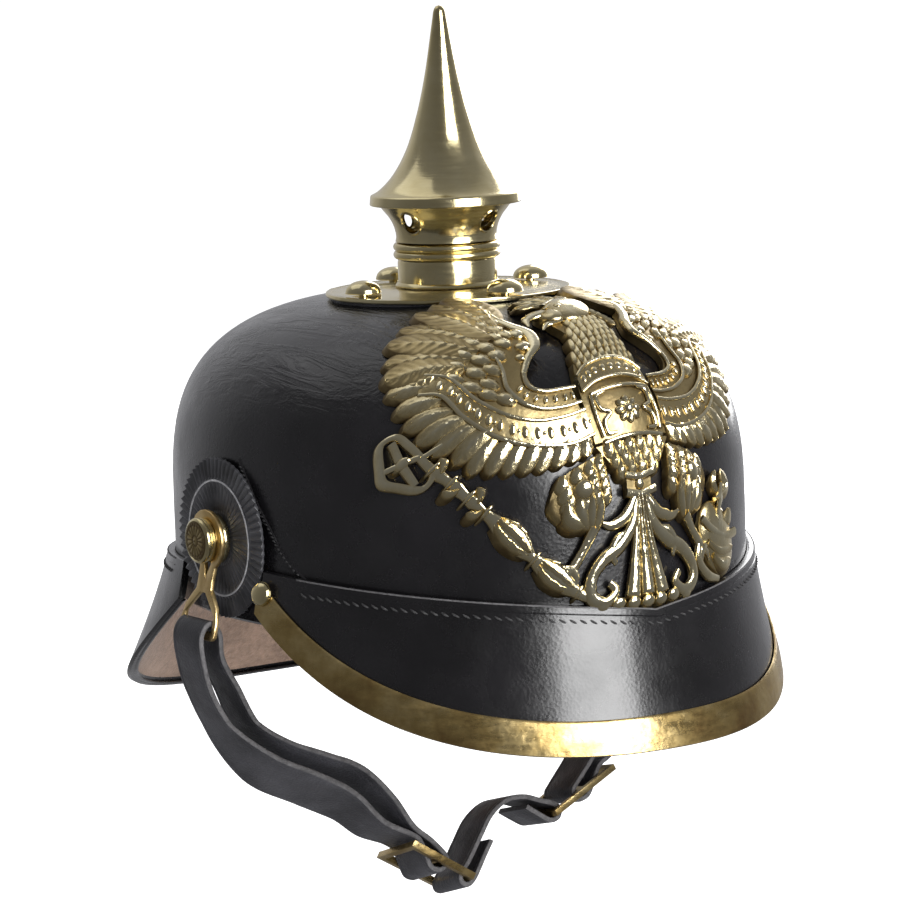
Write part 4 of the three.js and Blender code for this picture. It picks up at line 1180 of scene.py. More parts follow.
def build_wing_scales(shape, put):
    """Small overlapping feathers over the shoulder, and the rolled front edge of the wing."""
    rows = [
        ([(-44, 20), (-41.5, 14.5), (-38.5, 10), (-35, 6.5)], (-3.4, 5.0)),
        ([(-41.5, 24), (-38.5, 19), (-37, 13.5)], (-3.0, 5.2)),
        ([(-38, 27.5), (-35.5, 23), (-34.5, 18)], (-2.5, 5.4)),
        ([(-34, 31), (-32.5, 27), (-31.5, 22.5)], (-1.6, 5.6)),
        ([(-30, 34.5), (-28.5, 30.5), (-28, 26.5)], (-0.8, 5.6)),
        ([(-27, 38.5), (-25.5, 34.5), (-25, 30.5)], (-0.4, 5.6)),
        ([(-24, 42.5), (-23, 38.5)], (-0.2, 5.4)),
    ]
    for starts, (lean_x, lean_y) in rows:
        for k, (x, y) in enumerate(starts):
            route = [(x, y), (x + 0.45 * lean_x, y + 0.5 * lean_y), (x + lean_x, y + lean_y)]
            leaf(shape, put(route), 2.3, base=0.7 + 0.2 * (k % 2), crown=0.85, rib=0.35, barbs=3,
                 rows=14, columns=7, root=0.4)
    edge = [(-19, 48.5), (-21.5, 43), (-20.5, 36), (-19, 30.5), (-20.5, 25.5), (-25, 21), (-28.6, 15.9)]
    cord_on_badge(shape, put(edge), [0.7, 1.3, 1.5, 2.1, 1.9, 1.2, 0.8], base=0.9, samples=44, sides=12)
    boss(shape, *put([(-24.4, 25.6)])[0], 2.5, 2.0, 1.5, base=0.6)
    boss(shape, *put([(-22.3, 31.8)])[0], 2.2, 2.6, 1.4, base=0.6)
    for x, y, size in ((-27, 21.8, 1.5), (-24.8, 36.3, 1.5), (-22.6, 45.6, 1.4)):
        boss(shape, *put([(x, y)])[0], size, size, 1.0, base=0.6)


def build_breast():
    shape = Shape()
    left = [(-14, -12), (-14, 3), (-12, 12), (-9.5, 19), (-7, 27), (-8.5, 33), (-7.5, 39), (-3, 44)]
    right = [(14, -12), (14, 3), (11, 12), (9.2, 19), (8, 27), (8.4, 34), (8.6, 40), (6.5, 44)]
    pad(shape, left, right, rows=34, columns=14)
    pad(shape, [(-14, -13), (-9, -19), (-4, -24)], [(14, -13), (9, -19), (4, -24)], rows=10)
    # Rows of neck feathers, each row wider and lower than the one above.
    for row in range(8):
        y = 35.5 - 2.65 * row
        reach = 5.6 + 0.75 * row
        lean = 1.6 - 0.15 * row
        count = 6 + row // 2
        for k in range(count):
            share = (k + 0.5 * (row % 2)) / (count - 0.5) - 0.5
            x = lean + 2 * share * reach
            route = [(x, y), (x + 0.5 * share, y - 2.6), (x + 1.2 * share, y - 5.2)]
            leaf(shape, route, 1.25, base=0.75, crown=0.7, rib=0.35, rows=10, columns=7, root=0.5)
    build_breast_ribbon(shape)
    # The breast panel: bars and scrolls round an eight-petalled rosette.
    for side in (-1, 1):
        cord_on_badge(shape, [(11.2 * side, 2.4), (11.6 * side, -4.5), (10.8 * side, -11)], 0.8,
                      base=1.3, samples=24)
        scroll = [(5.8 * side, 2.6), (9.4 * side, 1.6), (9.2 * side, -2.6), (6.0 * side, -4.4),
                  (9.0 * side, -6.6), (8.8 * side, -10.2), (5.6 * side, -10.6)]
        cord_on_badge(shape, scroll, [0.5, 0.9, 0.8, 0.6, 0.8, 0.9, 0.5], base=1.2, samples=60)
    for y in (3.4, -12.2):
        cord_on_badge(shape, [(-11, y - 0.6), (-4, y), (4, y), (11, y - 0.6)], 0.7, base=1.3,
                      samples=30)
    for k in range(8):
        angle = k * math.pi / 4
        reach = 4.4
        tip = (reach * math.cos(angle), -4.4 + reach * math.sin(angle))
        leaf(shape, [(0.2 * tip[0], -4.4 + 0.2 * (tip[1] + 4.4)), tip], 1.35, base=0.9, crown=0.9,
             rib=0.2, rows=10, columns=7)
    boss(shape, 0, -4.4, 1.6, 1.6, 1.5, base=0.9)
    for row in range(3):
        count = 6 - row
        for k in range(count):
            x = (k - (count - 1) / 2) * 4.0
            y = -11.6 - 3.1 * row
            leaf(shape, [(x, y), (0.97 * x, y - 2.8), (0.9 * x, y - 5.6)], 2.0, base=0.6, crown=0.9,
                 rib=0.4, rows=12, columns=7)
    shape.finish("badge_breast", ["badge"], "helmet", "brass", sharp=60)


def build_breast_ribbon(shape):
    upper = [(-13, 10), (-8, 13.2), (0, 14.6), (7, 13), (12, 9.2)]
    lower = [(-13.6, 4.2), (-8, 6.4), (0, 7.2), (7.5, 6), (12.8, 3.6)]
    one = smooth_path(upper, 40)
    two = smooth_path(lower, 40)
    ribbon = np.stack([one * (1 - s) + two * s for s in np.linspace(0, 1, 7)], axis=1)
    x, y = ribbon[..., 0], ribbon[..., 1]
    top = badge_points(x, y, swell(x, y) + 1.6)
    under = badge_points(x, y, swell(x, y) - 0.2)[:, ::-1]
    shape.grid(np.concatenate([top, under], axis=1), caps=True, wear_and_shade=0.5)
    for line in (upper, lower):
        cord_on_badge(shape, line, 0.6, base=1.7, samples=44)
    middle = (one + two) / 2
    for k in range(4, 38, 4):
        boss(shape, *middle[k], 1.1, 1.5, 0.6, base=1.5, segments=12, rings=5)


def build_head():
    """The eagle's head turns to the viewer's left under a small leafy crown."""
    shape = Shape()
    boss(shape, 0.6, 39.6, 8.2, 6.6, 2.6, turn=0.45, base=0.8, wear_and_shade=0.8, rings=9, segments=30)
    boss(shape, -5.2, 37.6, 5.0, 3.7, 2.2, turn=0.3, base=0.9, wear_and_shade=0.8, rings=7, segments=24)
    cord_on_badge(shape, [(-5, 39.2), (-10, 39.6), (-13.8, 38.2), (-15.4, 34.8)], [2.4, 2.1, 1.5, 0.3],
                  base=0.9, samples=28, sides=12)
    cord_on_badge(shape, [(-5.5, 35), (-9.6, 34.2), (-12.2, 32)], [1.9, 1.3, 0.3], base=0.7, samples=20,
                  sides=10)
    boss(shape, -3.4, 40.4, 1.4, 1.2, 0.9, base=2.9, segments=14)
    cord_on_badge(shape, [(-7.2, 40.8), (-3.6, 42.5), (0.4, 41.6)], [0.3, 0.75, 0.4], base=2.6,
                  samples=14)
    for k in range(7):
        x = 1.4 + 1.35 * k
        y = 43.6 - 1.7 * k
        leaf(shape, [(x, y), (x + 2.2, y - 1.6), (x + 3.6, y - 4.4)], 1.7, base=1.5, crown=0.8,
             rib=0.35, rows=12, columns=7)
    crown = [((-3, 44), (-6.8, 46.6), (-11.4, 45.6)), ((-1.8, 44.8), (-5.6, 48.8), (-9.4, 49.6)),
             ((0.4, 45.4), (-1.4, 49.6), (-4.4, 52.2)), ((3.4, 45.6), (3.4, 50), (2, 53.4)),
             ((6.4, 44.8), (8.6, 48.6), (9, 52.2))]
    for route in crown:
        leaf(shape, list(route), 1.8, base=0.7, crown=0.8, rib=0.4, barbs=3, rows=16, columns=9)
    cord_on_badge(shape, [(-5.4, 43.2), (-1, 45.2), (4, 45.4), (8.4, 42.8)], 1.0, base=1.9, samples=24)
    shape.finish("badge_head", ["badge"], "helmet", "brass", sharp=60)


def build_legs():
    for name, mirror in (("right", False), ("left", True)):
        def put(points):
            return flipped(points, mirror)

        shape = Shape()
        pad(shape, put([(-11.5, -15), (-15, -21), (-17, -27), (-17.5, -33)]),
            put([(-18, -16), (-27, -19), (-30.5, -25), (-24, -33.5)]), rows=18)
        for row in range(4):
            for k in range(4):
                x = -13.5 - 4.2 * k + 0.5 * row
                y = -15.2 - 3.0 * row - 1.0 * k
                leaf(shape, put([(x, y), (x - 0.7, y - 2.5), (x - 1.1, y - 5.0)]), 2.2, base=0.5,
                     crown=0.9, rib=0.35, barbs=2, rows=12, columns=7, root=0.5)
        boss(shape, *put([(-21.6, -24.2)])[0], 3.2, 2.6, 1.6, turn=-0.5, base=0.9)
        for k in range(4):
            x = -16.5 - 3.2 * k
            route = [(x, -25.5), (x + 0.6, -30), (-17.4 - 1.2 * k, -35.5 + 0.7 * k)]
            leaf(shape, put(route), 2.0, base=0.8, crown=1.1, rib=0.3, rows=16, columns=7)
        shin = put([(-18, -34.5), (-21, -38.6), (-24.5, -42.6)])
        cord_on_badge(shape, shin, [1.9, 1.5, 1.7], base=0.6, samples=22, sides=10)
        for k in range(5):
            share = 0.15 + 0.18 * k
            x = lerp(shin[0][0], shin[2][0], share)
            y = lerp(shin[0][1], shin[2][1], share)
            boss(shape, x, y, 1.9, 0.7, 0.9, turn=math.radians(-40 if mirror else 40), base=1.0,
                 rings=4, segments=10)
        for dx, dy in ((-4.5, 0.6), (-2.6, -3.0), (1.4, -4.4)):
            x, y = -24.8, -43
            claw = [(x, y), (x + 0.7 * dx, y + 0.55 * dy + 0.9), (x + dx, y + dy)]
            cord_on_badge(shape, put(claw), [1.5, 1.1, 0.35], base=1.0, samples=12)
        shape.finish(f"badge_leg_{name}", ["badge"], "helmet", "brass", sharp=60)


def build_tail():
    shape = Shape()
    pad(shape, [(-4.2, -22), (-4.4, -27.5)], [(4.2, -22), (4.4, -27.5)], rows=8, columns=8)
    cord_on_badge(shape, [(-5, -22.4), (0, -23.4), (5, -22.4)], 1.1, base=1.0, samples=16)
    cord_on_badge(shape, [(-5.2, -27), (0, -28), (5.2, -27)], 1.2, base=1.0, samples=16)
    boss(shape, 0, -25.2, 1.6, 1.6, 0.9, base=0.8)
    for tip_x, bow in ((-5.4, -1.6), (0, 0), (5.4, 1.6)):
        route = [(0.22 * tip_x, -28), (0.35 * tip_x + 0.3 * bow, -38), (0.75 * tip_x, -47),
                 (tip_x, -53.6)]
        cord_on_badge(shape, route, [0.9, 1.1, 1.8, 2.6], base=0.4, samples=34, sides=12)
        cord_on_badge(shape, route, [0.3, 0.3, 0.4, 0.5], base=1.7, samples=34, sides=8)
    for mirror in (False, True):
        scroll = flipped([(-1.6, -28.6), (-3.6, -35), (-8.8, -40), (-15, -42.6), (-18.8, -46.6),
                          (-18.8, -51), (-14.6, -53.4), (-11, -51), (-12.8, -48.6)], mirror)
        cord_on_badge(shape, scroll, [1.2, 1.7, 1.9, 2.1, 2.1, 2.0, 1.9, 1.5, 1.1], base=0.5,
                      samples=70, sides=12)
        hook = flipped([(-2.2, -28.6), (-6, -33), (-11.4, -34.4), (-14.6, -33.4)], mirror)
        cord_on_badge(shape, hook, [1.3, 1.8, 1.6, 0.6], base=0.6, samples=26, sides=10)
        knee = flipped([(-6.2, -37), (-9.6, -38.4), (-11.6, -41), (-10.6, -44.5)], mirror)
        cord_on_badge(shape, knee, [0.8, 1.6, 1.5, 0.6], base=0.9, samples=22, sides=10)
        for x, y in ((-15.4, -54), (-10.2, -54.4), (-5.0, -55)):
            boss(shape, *flipped([(x, y)], mirror)[0], 2.4, 1.7, 1.3, base=0.4)
    boss(shape, 0, -55.2, 2.5, 1.7, 1.4, base=0.5)
    shape.finish("badge_tail", ["badge"], "helmet", "brass", sharp=60)


SCEPTRE = [(-59.6, 2.6), (-57.4, -2.4), (-54, -8), (-51, -13), (-48, -17.8), (-44.8, -22.4),
           (-39.6, -29.8), (-34.6, -36.8), (-28.5, -43.6), (-22.5, -49), (-17.6, -52.4)]


def build_sceptre():
    """A turned rod with a pierced head and two leafy bulges."""
    shape = Shape()
    head = [(-66.6, 12.2), (-67.8, 5.4), (-67.6, 1.6), (-65.2, -1.4), (-60, -5.6), (-57.6, -3.4),
            (-59.2, 1.6), (-61.4, 8), (-63.6, 12.4)]
    cord_on_badge(shape, head, 1.0, base=0.4, closed=True, samples=72)
    for start, end in (((-67.4, 4.4), (-59.8, 3.2)), ((-64.6, 11), (-63.8, 4)),
                       ((-63.8, 4), (-61.6, -3.8)), ((-59.4, 2.6), (-54.6, 3.4))):
        middle = ((start[0] + end[0]) / 2, (start[1] + end[1]) / 2)
        cord_on_badge(shape, [start, middle, end], 0.95, base=0.5, samples=12)
    boss(shape, -63.6, 3.8, 1.8, 1.8, 1.3, base=0.6)
    thick = [1.2, 1.5, 2.0, 1.4, 2.2, 1.5, 2.0, 1.4, 1.8, 2.8, 3.7, 4.0, 3.1, 1.6, 2.8, 4.0, 4.2, 3.4,
             2.2, 1.6, 1.1]
    cord_on_badge(shape, SCEPTRE, [0.7 * r for r in thick], base=0.5, samples=130, sides=16, flat=0.6)
    line = smooth_path(SCEPTRE, 131)
    for k in (9, 22, 35, 48, 86, 118):
        step = line[k + 1] - line[k]
        boss(shape, *line[k], 0.8, 2.0, 1.2, turn=math.atan2(step[1], step[0]), base=0.8, rings=5,
             segments=16)
    for start, end, reach in ((56, 82, 2.1), (90, 114, 2.3)):
        for side in (-0.85, 0.0, 0.85):
            spots = []
            for share in (0.0, 0.35, 0.7, 1.0):
                k = round(lerp(start, end, share))
                step = (line[k + 1] - line[k]) / np.linalg.norm(line[k + 1] - line[k])
                out = np.array([-step[1], step[0]]) * side * reach
                out = out * math.sin(math.pi * (0.15 + 0.75 * share))
                spots.append(tuple(line[k] + out))
            leaf(shape, spots, 1.15, base=1.5 - 0.7 * abs(side), crown=0.9, rib=0.5, barbs=4, rows=22,
                 columns=9)
    for k, side in ((14, 1), (28, -1), (41, 1), (46, -1)):
        step = (line[k + 1] - line[k]) / np.linalg.norm(line[k + 1] - line[k])
        out = side * np.array([-step[1], step[0]])
        tip = line[k] + 2.6 * out - 3.4 * step
        leaf(shape, [tuple(line[k]), tuple(line[k] + 2.0 * out - 1.0 * step), tuple(tip)], 1.2,
             base=0.9, crown=0.9, rib=0.35, rows=14, columns=7)
    shape.finish("badge_sceptre", ["badge"], "helmet", "brass", sharp=60)


def build_orb():
    orb = Shape()
    boss(orb, 33.6, -39.2, 9.4, 9.6, 3.4, base=-0.4, wear_and_shade=0.75, rings=12, segments=36)
    cord_on_badge(orb, [(24.6, -36), (29, -38.4), (35.4, -39.6), (42.6, -37.4)], 1.2, base=2.2,
                  samples=26)
    cord_on_badge(orb, [(32.6, -39), (33.6, -34), (35.8, -30.4)], 1.0, base=2.2, samples=16)
    for route in (((29, -45), (33, -46.8), (38.6, -45)), ((27, -41.6), (32.4, -43.4), (40.4, -41.4)),
                  ((36, -36), (39.4, -34.4), (41.4, -31.8))):
        leaf(orb, list(route), 1.8, base=2.0, crown=0.8, rib=0.35, rows=14, columns=7)
    cord_on_badge(orb, [(35, -31), (37.6, -28.6), (38.6, -25.4)], [2.2, 1.7, 1.4], base=0.8, samples=14)
    leaf(orb, [(38, -28.6), (41.4, -25.6), (38.6, -21.4)], 2.1, base=0.9, crown=1.0, rib=0.4, rows=16,
         columns=9)
    leaf(orb, [(36.8, -28), (34.6, -25.4), (36, -22)], 1.6, base=0.9, crown=0.9, rib=0.4, rows=14,
         columns=7)
    cord_on_badge(orb, [(23.6, -41), (22.4, -46), (26, -49.4), (32, -50)], [1.3, 1.7, 1.6, 0.9],
                  base=0.6, samples=30, sides=10)
    orb.finish("badge_orb", ["badge"], "helmet", "brass", sharp=60)


def build_badge():
    build_wing("badge_wing_right", False, ["front_badge"])
    build_wing("badge_wing_left", True, [])
    build_breast()
    build_head()
    build_legs()
    build_tail()
    build_sceptre()
    build_orb()


# ---- cockades, knobs and lugs ------------------------------------------------

def build_cockade(name, side):
    """A disc with two rings of radial pleats and a thin grey ring between them."""
    radius, ring_radius, thickness = 26.0, 18.5, 1.8
    segments = 720
    around = np.linspace(0, 2 * np.pi, segments, endpoint=False)[:, None]
    outer_pleats = 62
    inner_pleats = 48
    radii = np.concatenate([
        np.linspace(2.6, 8.0, 4), np.linspace(8.6, 17.4, 9), [17.9, 18.2, 18.8, 19.2],
        np.linspace(19.8, 25.4, 9), [radius - 0.25],
    ])[None, :]
    ridge_outer = np.abs(np.mod(around * outer_pleats / (2 * np.pi), 1) * 2 - 1)
    ridge_inner = np.abs(np.mod(around * inner_pleats / (2 * np.pi), 1) * 2 - 1)
    outer_zone = np.clip((radii - 19.0) / 1.2, 0, 1)
    inner_zone = np.clip((radii - 8.4) / 1.0, 0, 1) * np.clip((17.7 - radii) / 0.8, 0, 1)
    height = thickness - 0.35 - 0.5 * np.clip((radii - 19) / 6.5, 0, 1)
    height = height + outer_zone * 0.95 * (ridge_outer - 0.45)
    height = height + inner_zone * 0.55 * (ridge_inner - 0.45)
    height = height + 0.3 * np.exp(-(((radii - ring_radius) / 0.7) ** 2))
    scallop = np.where(radii > 24.0, 1 - 0.016 * (1 - ridge_outer), 1.0)
    reach = np.minimum(radii * scallop, radius)
    top = np.stack([reach * np.sin(around), -reach * np.cos(around), height], axis=2)
    rim = top[:, -1:] * np.array([1.002, 1.002, 0]) + np.array([0, 0, 0.3])
    back = top[:, ::-6] * np.array([0.99, 0.99, 0]) + np.array([0, 0, 0.02])
    shape = Shape()
    shape.grid(np.concatenate([top, rim, back], axis=1), close_rows=True)
    line = np.linspace(0, 2 * np.pi, 180, endpoint=False)
    path = np.stack([ring_radius * np.sin(line), -ring_radius * np.cos(line), thickness + 0 * line],
                    axis=1)
    tube(shape, path, 0.34, closed=True, sides=8, slot=1, flat=0.6)
    shape.moved((side * COCKADE_X, KNOB_Y, KNOB_HEIGHT), (side, 0, 0))
    shape.finish(f"cockade_pleated_{name}", ["pleats", "ring"], "helmet", "black_lacquer",
                 [f"cockade_{name}"], 60)


def build_knob(name, side):
    washer = Shape()
    washer.lathe([(2.6, 0), (7.9, 0), (8.2, 0.4), (8.2, 1.9), (7.8, 2.4), (2.6, 2.4)], 64)
    washer.moved((side * WASHER_X, KNOB_Y, KNOB_HEIGHT), (side, 0, 0))
    washer.finish(f"knob_washer_{name}", ["brass"], "helmet", "brass", [f"knob_bushing_{name}"])
    shape = Shape()
    shape.lathe([
        (0.05, -13.5), (2.1, -13.5), (2.1, -1.9), (6.2, -1.9), (6.2, 0.02), (6.9, 0.02), (7.2, 0.35),
        (7.2, 1.2), (6.75, 1.5), (6.75, 1.8), (7.25, 2.1), (7.3, 2.8), (7.0, 3.3), (6.4, 3.6),
        (6.1, 3.3), (0.05, 3.3),
    ], 72)
    around = np.linspace(0, 2 * np.pi, 192, endpoint=False)[:, None]
    radii = np.array([[0.3, 0.9, 1.4, 1.7, 2.2, 3.0, 3.8, 4.5, 5.0, 5.4, 5.7, 6.0]])
    petals = np.abs(np.sin(around * 8))
    height = 3.55 + 0.55 * np.exp(-((radii / 1.2) ** 2)) + 0 * around
    height = height + np.where((radii > 1.8) & (radii < 4.8), 0.4 * petals, 0)
    height = height + 0.25 * np.exp(-(((radii - 5.4) / 0.3) ** 2)) * (0.6 + 0.4 * np.sin(around * 24))
    top = np.stack([radii * np.sin(around), -radii * np.cos(around), height], axis=2)
    under = top[:, ::-11] * np.array([1, 1, 0]) + np.array([0, 0, 3.1])
    # The rosette's petal tops are painted a little paler than its hollows, which are near the darkest
    # brown: tarnish plus painted recess shade.
    wear_and_shade = np.clip((height - 3.5) / 0.5, 0, 1) * 0.35 + 0.02
    low = np.full((len(around), under.shape[1]), 0.05)
    shape.grid(
        np.concatenate([top, under], axis=1), close_rows=True, slot=1,
        wear_and_shade=np.concatenate([wear_and_shade, low], axis=1),
    )
    shape.moved((side * KNOB_X, KNOB_Y, KNOB_HEIGHT), (side, 0, 0))
    shape.finish(f"knob_{name}", ["brass", "badge"], "helmet", "brass", [f"strap_knob_{name}"])


# ---- chin strap --------------------------------------------------------------

STRAP_HALF = 8.5
STRAP_THICK = 1.8
BUCKLE_ROD = 2.2
LUG_BAR_X = 98.6
LUG_BAR_Z = -2.7
BAR_WRAP_X = 3.2
WRAP = BUCKLE_ROD / 2 * math.sqrt(2) + FIT_GAP + STRAP_THICK / 2
BUCKLE_RIGHT = ((-15, -93), -32)
BUCKLE_LEFT = ((43, -77), 27)


def on_buckle(buckle, along, above):
    (x, z), degrees = buckle
    angle = math.radians(degrees)
    return (
        x + along * math.cos(angle) - above * math.sin(angle),
        z + along * math.sin(angle) + above * math.cos(angle),
    )


def round_bar(centre, degrees):
    angle = math.radians(degrees)
    return (centre[0] + WRAP * math.cos(angle), centre[1] + WRAP * math.sin(angle))


def right_route():
    def at(along, above):
        return on_buckle(BUCKLE_RIGHT, along, above)

    return [
        (-LUG_BAR_X, LUG_BAR_Z + 3.4), (-LUG_BAR_X - BAR_WRAP_X, LUG_BAR_Z), (-LUG_BAR_X - 2.5, -14),
        (-98, -24), (-90, -38), (-77, -51), (-60, -60), (-46, -68), (-36, -77), at(-15, 3.5),
        at(-11, 3.2), at(-6.5, 0.2), at(-2, -WRAP - 0.2), at(0.6, -WRAP - 0.1), at(2.2, -2.1),
        at(WRAP + 0.2, 0), at(2.2, 2.1), at(0.4, WRAP + 0.2), at(-7, WRAP + 2.1), (-24.5, -80),
        (-32, -70), (-43, -60), (-56, -54), (-70, -47), (-82, -36), (-89, -22), (-LUG_BAR_X + 4, -11),
        (-LUG_BAR_X + BAR_WRAP_X, LUG_BAR_Z),
    ]


def left_route():
    def at(along, above):
        return on_buckle(BUCKLE_LEFT, along, above)

    return [
        (LUG_BAR_X, LUG_BAR_Z + 3.4), (LUG_BAR_X + BAR_WRAP_X, LUG_BAR_Z), (LUG_BAR_X + 2, -14),
        (97, -28), (88, -42), (76, -53), (65, -61), at(15, 3.5), at(11, 3.2), at(6.5, 0.2),
        at(2, -WRAP - 0.2), at(-0.6, -WRAP - 0.1), at(-2.2, -2.1), at(-WRAP - 0.2, 0), at(-2.2, 2.1),
        at(-0.4, WRAP + 0.2), (46.5, -68.6), (54, -60), (64, -53), (75, -46), (85, -35), (91, -21),
        (LUG_BAR_X - 4, -11), (LUG_BAR_X - BAR_WRAP_X, LUG_BAR_Z),
    ]


def middle_route():
    right_bar = on_buckle(BUCKLE_RIGHT, 12.9, 0)
    left_bar = on_buckle(BUCKLE_LEFT, -12.9, 0)
    return [
        (6, -88.9), (3.2, -93.4), round_bar(right_bar, -30), round_bar(right_bar, -85),
        round_bar(right_bar, -140), round_bar(right_bar, 165), (-3, -94.2), (1.6, -87), (6.5, -80),
        (13, -76), (20, -76), (26, -78), round_bar(left_bar, 75), round_bar(left_bar, 15),
        round_bar(left_bar, -45), round_bar(left_bar, -110), (25.4, -82.6), (20.6, -79.4),
    ]


def strap_section():
    """Half of a strap's outline is its face, softened at the corners; the rest mirrors it."""
    half, thick = STRAP_HALF, STRAP_THICK / 2
    face = [(-half, 0.5 * thick), (-half + 0.25, 0.9 * thick), (-half + 0.6, thick), (-6.9, thick),
            (-6.6, 0.9 * thick), (-6.3, thick), (0, 1.02 * thick),
            (6.3, thick), (6.6, 0.9 * thick), (6.9, thick), (half - 0.6, thick),
            (half - 0.25, 0.9 * thick), (half, 0.5 * thick)]
    return np.array(face + [(x, -y) for x, y in reversed(face)])


def front_rise(x, z):
    """How far the strap's front edge rises per millimetre of its width, as in part.mjs."""
    chin = lerp(0.36, 0.22, np.clip((x + 15) / 58, 0, 1)) * np.clip((-25 - z) / 25, 0, 1)
    bulge = 0.35 * np.maximum(0, 1 - ((z + 58) / 24) ** 2)
    return chin + bulge * np.clip((-15 - x) / 35, 0, 1)


def build_strap(name, route, closed, samples):
    """A leather strip along (x, z) points, level across its width until its front edge is raised."""
    path = smooth_path([(x, KNOB_Y, z) for x, z in route], samples, closed)
    along = tangents(path, closed)
    level = np.array([0.0, 1.0, 0.0])
    normal = np.cross(along, level)
    section = strap_section()
    grid = (
        path[:, None, :] + section[None, :, :1] * level + section[None, :, 1:] * normal[:, None, :]
    )
    grid[..., 2] -= (grid[..., 1] - KNOB_Y) * front_rise(grid[..., 0], grid[..., 2])
    last = len(section) // 2
    edges = {0, last - 2, last - 1, last, len(section) - 2, len(section) - 1}
    shape = Shape()
    shape.grid(
        grid, close_rows=closed, caps=not closed,
        slot=lambda i, j: int(j in edges),
    )
    shape.finish(name, ["strap", "edge"], "chin_strap", "strap_leather",
                 [name.replace("leather", "strap")], 60)


def build_chin_strap():
    build_strap("leather_right", right_route(), True, 300)
    build_strap("leather_left", left_route(), True, 260)
    build_strap("leather_middle", middle_route(), False, 160)
    for name, _ in SIDES:
        bevelled_copy(f"lug_{name}", f"strap_lug_{name}", 0.42, "satin", "chin_strap")
        bevelled_copy(f"frame_buckle_{name}", f"buckle_{name}", 0.6, "aged", "chin_strap")


# ---- inside ------------------------------------------------------------------

TONGUE_COUNT = 10


def ring_of_wall(loop):
    """A closed band round the inside of the wall from a loop of (height, inset) pairs."""
    around = np.linspace(0, 2 * np.pi, 160, endpoint=False)
    return np.stack([wall_points(around, height, inset) for height, inset in loop], axis=1)


def build_sweatband():
    band_loop = [
        (1.0, LEATHER + 0.4), (0.8, 5.5), (1.1, 8.4), (2.0, 8.9), (12, 9.1), (24, 9.0), (33.4, 8.9),
        (34, 8.6), (34, 7.7), (33.4, 7.4), (3.4, 7.4), (2.6, LEATHER + 0.6),
    ]
    stitch_count = 150
    shape = Shape()
    shape.grid(ring_of_wall(band_loop), close_rows=True)
    stitches = Shape()
    for k in range(stitch_count):
        angle = 2 * math.pi * k / stitch_count
        spread = np.linspace(angle - 0.012, angle + 0.012, 4)
        depth = np.array([8.7, 9.25, 9.25, 8.7])
        path = np.stack([wall_points(a, 4.5, d) for a, d in zip(spread, depth)])
        tube(stitches, path, [0.15, 0.3, 0.3, 0.15], sides=6)
    shape.finish("sweatband_leather", ["liner"], "helmet", "brown_leather", ["sweatband"])
    stitches.finish("sweatband_stitches", ["linen"], "helmet", "brown_leather")


def build_tongues():
    """The liner: a band round the wall, and rounded leather tongues that reach up from it."""
    tongues = Shape()
    tongues.grid(ring_of_wall([(16, 9.3), (16, 10.3), (29, 10.4), (29, 9.3)]), close_rows=True)
    for k in range(TONGUE_COUNT):
        centre = (k + 0.5) / TONGUE_COUNT * 2 * math.pi
        lift = np.concatenate([[0.0, 0.12], np.linspace(0.25, 1.0, 12)])
        share = np.linspace(0, 1, len(lift))
        half = 0.275 * np.sqrt(np.clip(1 - share ** 4.5, 0.02, 1)) * (1 - 0.12 * share)
        across = np.linspace(-1, 1, 9)
        angle = centre + half[:, None] * across
        puff = 0.5 * (1 - across ** 2)[None, :]
        rows = [dome_points(angle[i], lift[i], 9.5 + puff[0]) for i in range(len(lift))]
        under = [dome_points(angle[i], lift[i], 10.5 + puff[0])[::-1] for i in range(len(lift))]
        foot = np.concatenate([wall_points(angle[0], 27, 9.4), wall_points(angle[0], 27, 10.4)[::-1]])
        grid = np.stack([foot] + [np.concatenate([a, b]) for a, b in zip(rows, under)])
        tongues.grid(grid, caps=True)
    tongues.finish("liner_tongues", ["liner"], "helmet", "brown_leather", ["liner"])


def build_liner_cord():
    """The lace that weaves through the tongues' tips."""
    cord = Shape()
    turn = np.linspace(0, 2 * np.pi, 240, endpoint=False)
    weave = 0.35 * np.sin(turn * TONGUE_COUNT)
    path = dome_points(turn, 0.88, 11.9 + weave)
    tube(cord, path, 0.95 + 0.08 * np.sin(turn * 90), closed=True, sides=10)
    cord.finish("liner_lace", ["linen"], "helmet", "linen", ["liner_cord"])


# ---- rear spine, and the small pieces that keep their CAD shapes -------------

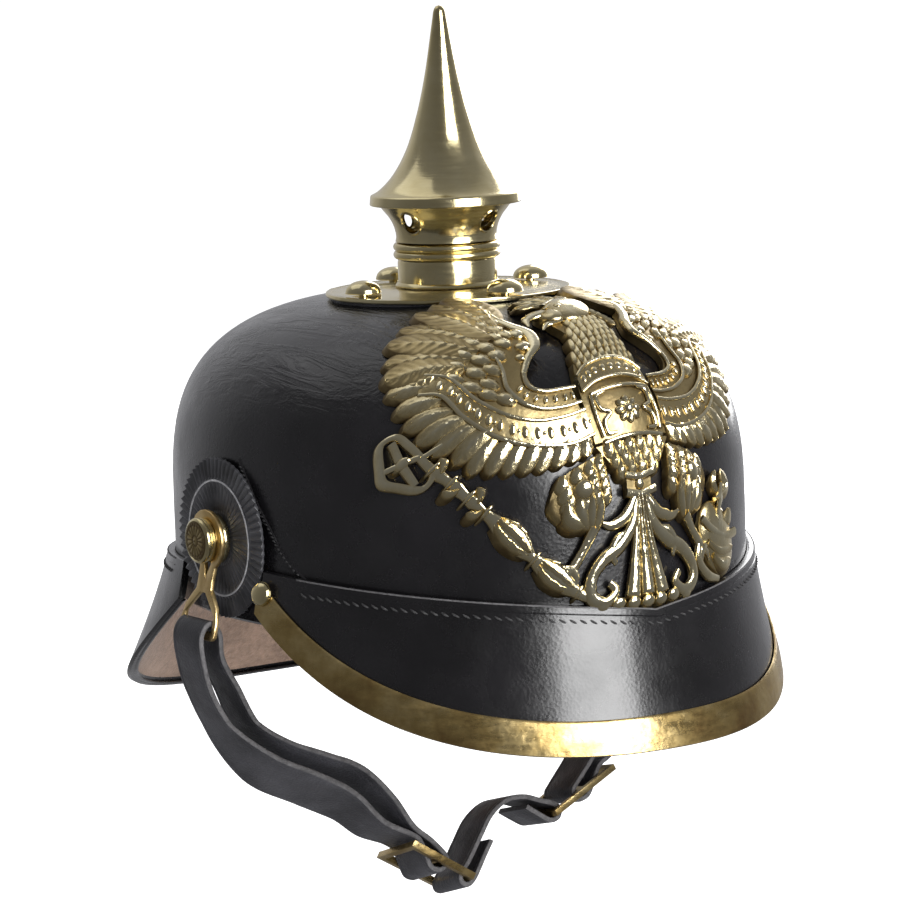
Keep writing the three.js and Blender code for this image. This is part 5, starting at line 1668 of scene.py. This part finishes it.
def build_rear_spine():
    """A half-round brass strip down the back of the skull, held by two rivets."""
    lifts = np.linspace(0, 1.3, 40)
    line = [wall_points(math.pi, height, 0) for height in np.linspace(10, 29, 14)]
    line += [dome_points(math.pi, lift, 0) for lift in lifts]
    path = np.array(line)
    along = tangents(path)
    out = np.cross(along, np.array([1.0, 0, 0]))
    out *= np.sign(out[:, 1:2] + 1e-9)
    half = 4.5
    sideways = np.array([1.0, 0, 0])
    across = np.linspace(-half, half, 13)
    bead = 0.25 * np.exp(-((np.abs(across) - 3.6) / 0.4) ** 2)
    ridge = 0.45 + 0.8 * (1 - (across / half) ** 2) ** 0.5 + bead
    top = path[:, None, :] + across[None, :, None] * sideways + ridge[None, :, None] * out[:, None, :]
    under = path[:, None, :] + across[None, ::-1, None] * sideways + 0.35 * out[:, None, :]
    shape = Shape()
    shape.grid(np.concatenate([top, under], axis=1), caps=True)
    shape.finish("spine_strip", ["brass"], "helmet", "brass", ["rear_spine"])


def dress_cad_nodes():
    """CAD nodes whose shapes stay, with finished materials."""
    looks = {}
    for side, _ in SIDES:
        looks[f"badge_nut_{side}"] = "aged"
        looks[f"knob_nut_{side}"] = "aged"
    for k in (1, 2):
        looks[f"spine_rivet_{k}"] = "brass"
    for k in (1, 2, 3, 4):
        looks[f"base_nut_{k}"] = "aged"
    for node, look in looks.items():
        slots = frame["nodes"][node].material_slots
        for entry in slots:
            entry.material = LOOKS[look]


# ---- build -------------------------------------------------------------------

add_camera()
add_floor()
add_area_light("key_softbox", (0.05, -1.5, 0.47), (0.95, 1.15), 42)
add_area_light("rim_softbox", (1.25, 0.95, 0.55), (0.8, 1.2), 12)
add_area_light("top_softbox", (-0.45, 0.75, 1.6), (1.3, 1.3), 2.5)
add_world()

build_skull()
build_skull_seams()
build_brims()
build_trim()
build_studs()
build_trim_studs()
build_crown_plate()
build_gasket()
build_neck_and_beads()
build_collar()
build_cone()
build_badge()
for side_name, side_sign in SIDES:
    build_cockade(side_name, side_sign)
    build_knob(side_name, side_sign)
build_chin_strap()
build_sweatband()
build_tongues()
build_liner_cord()
build_rear_spine()
dress_cad_nodes()
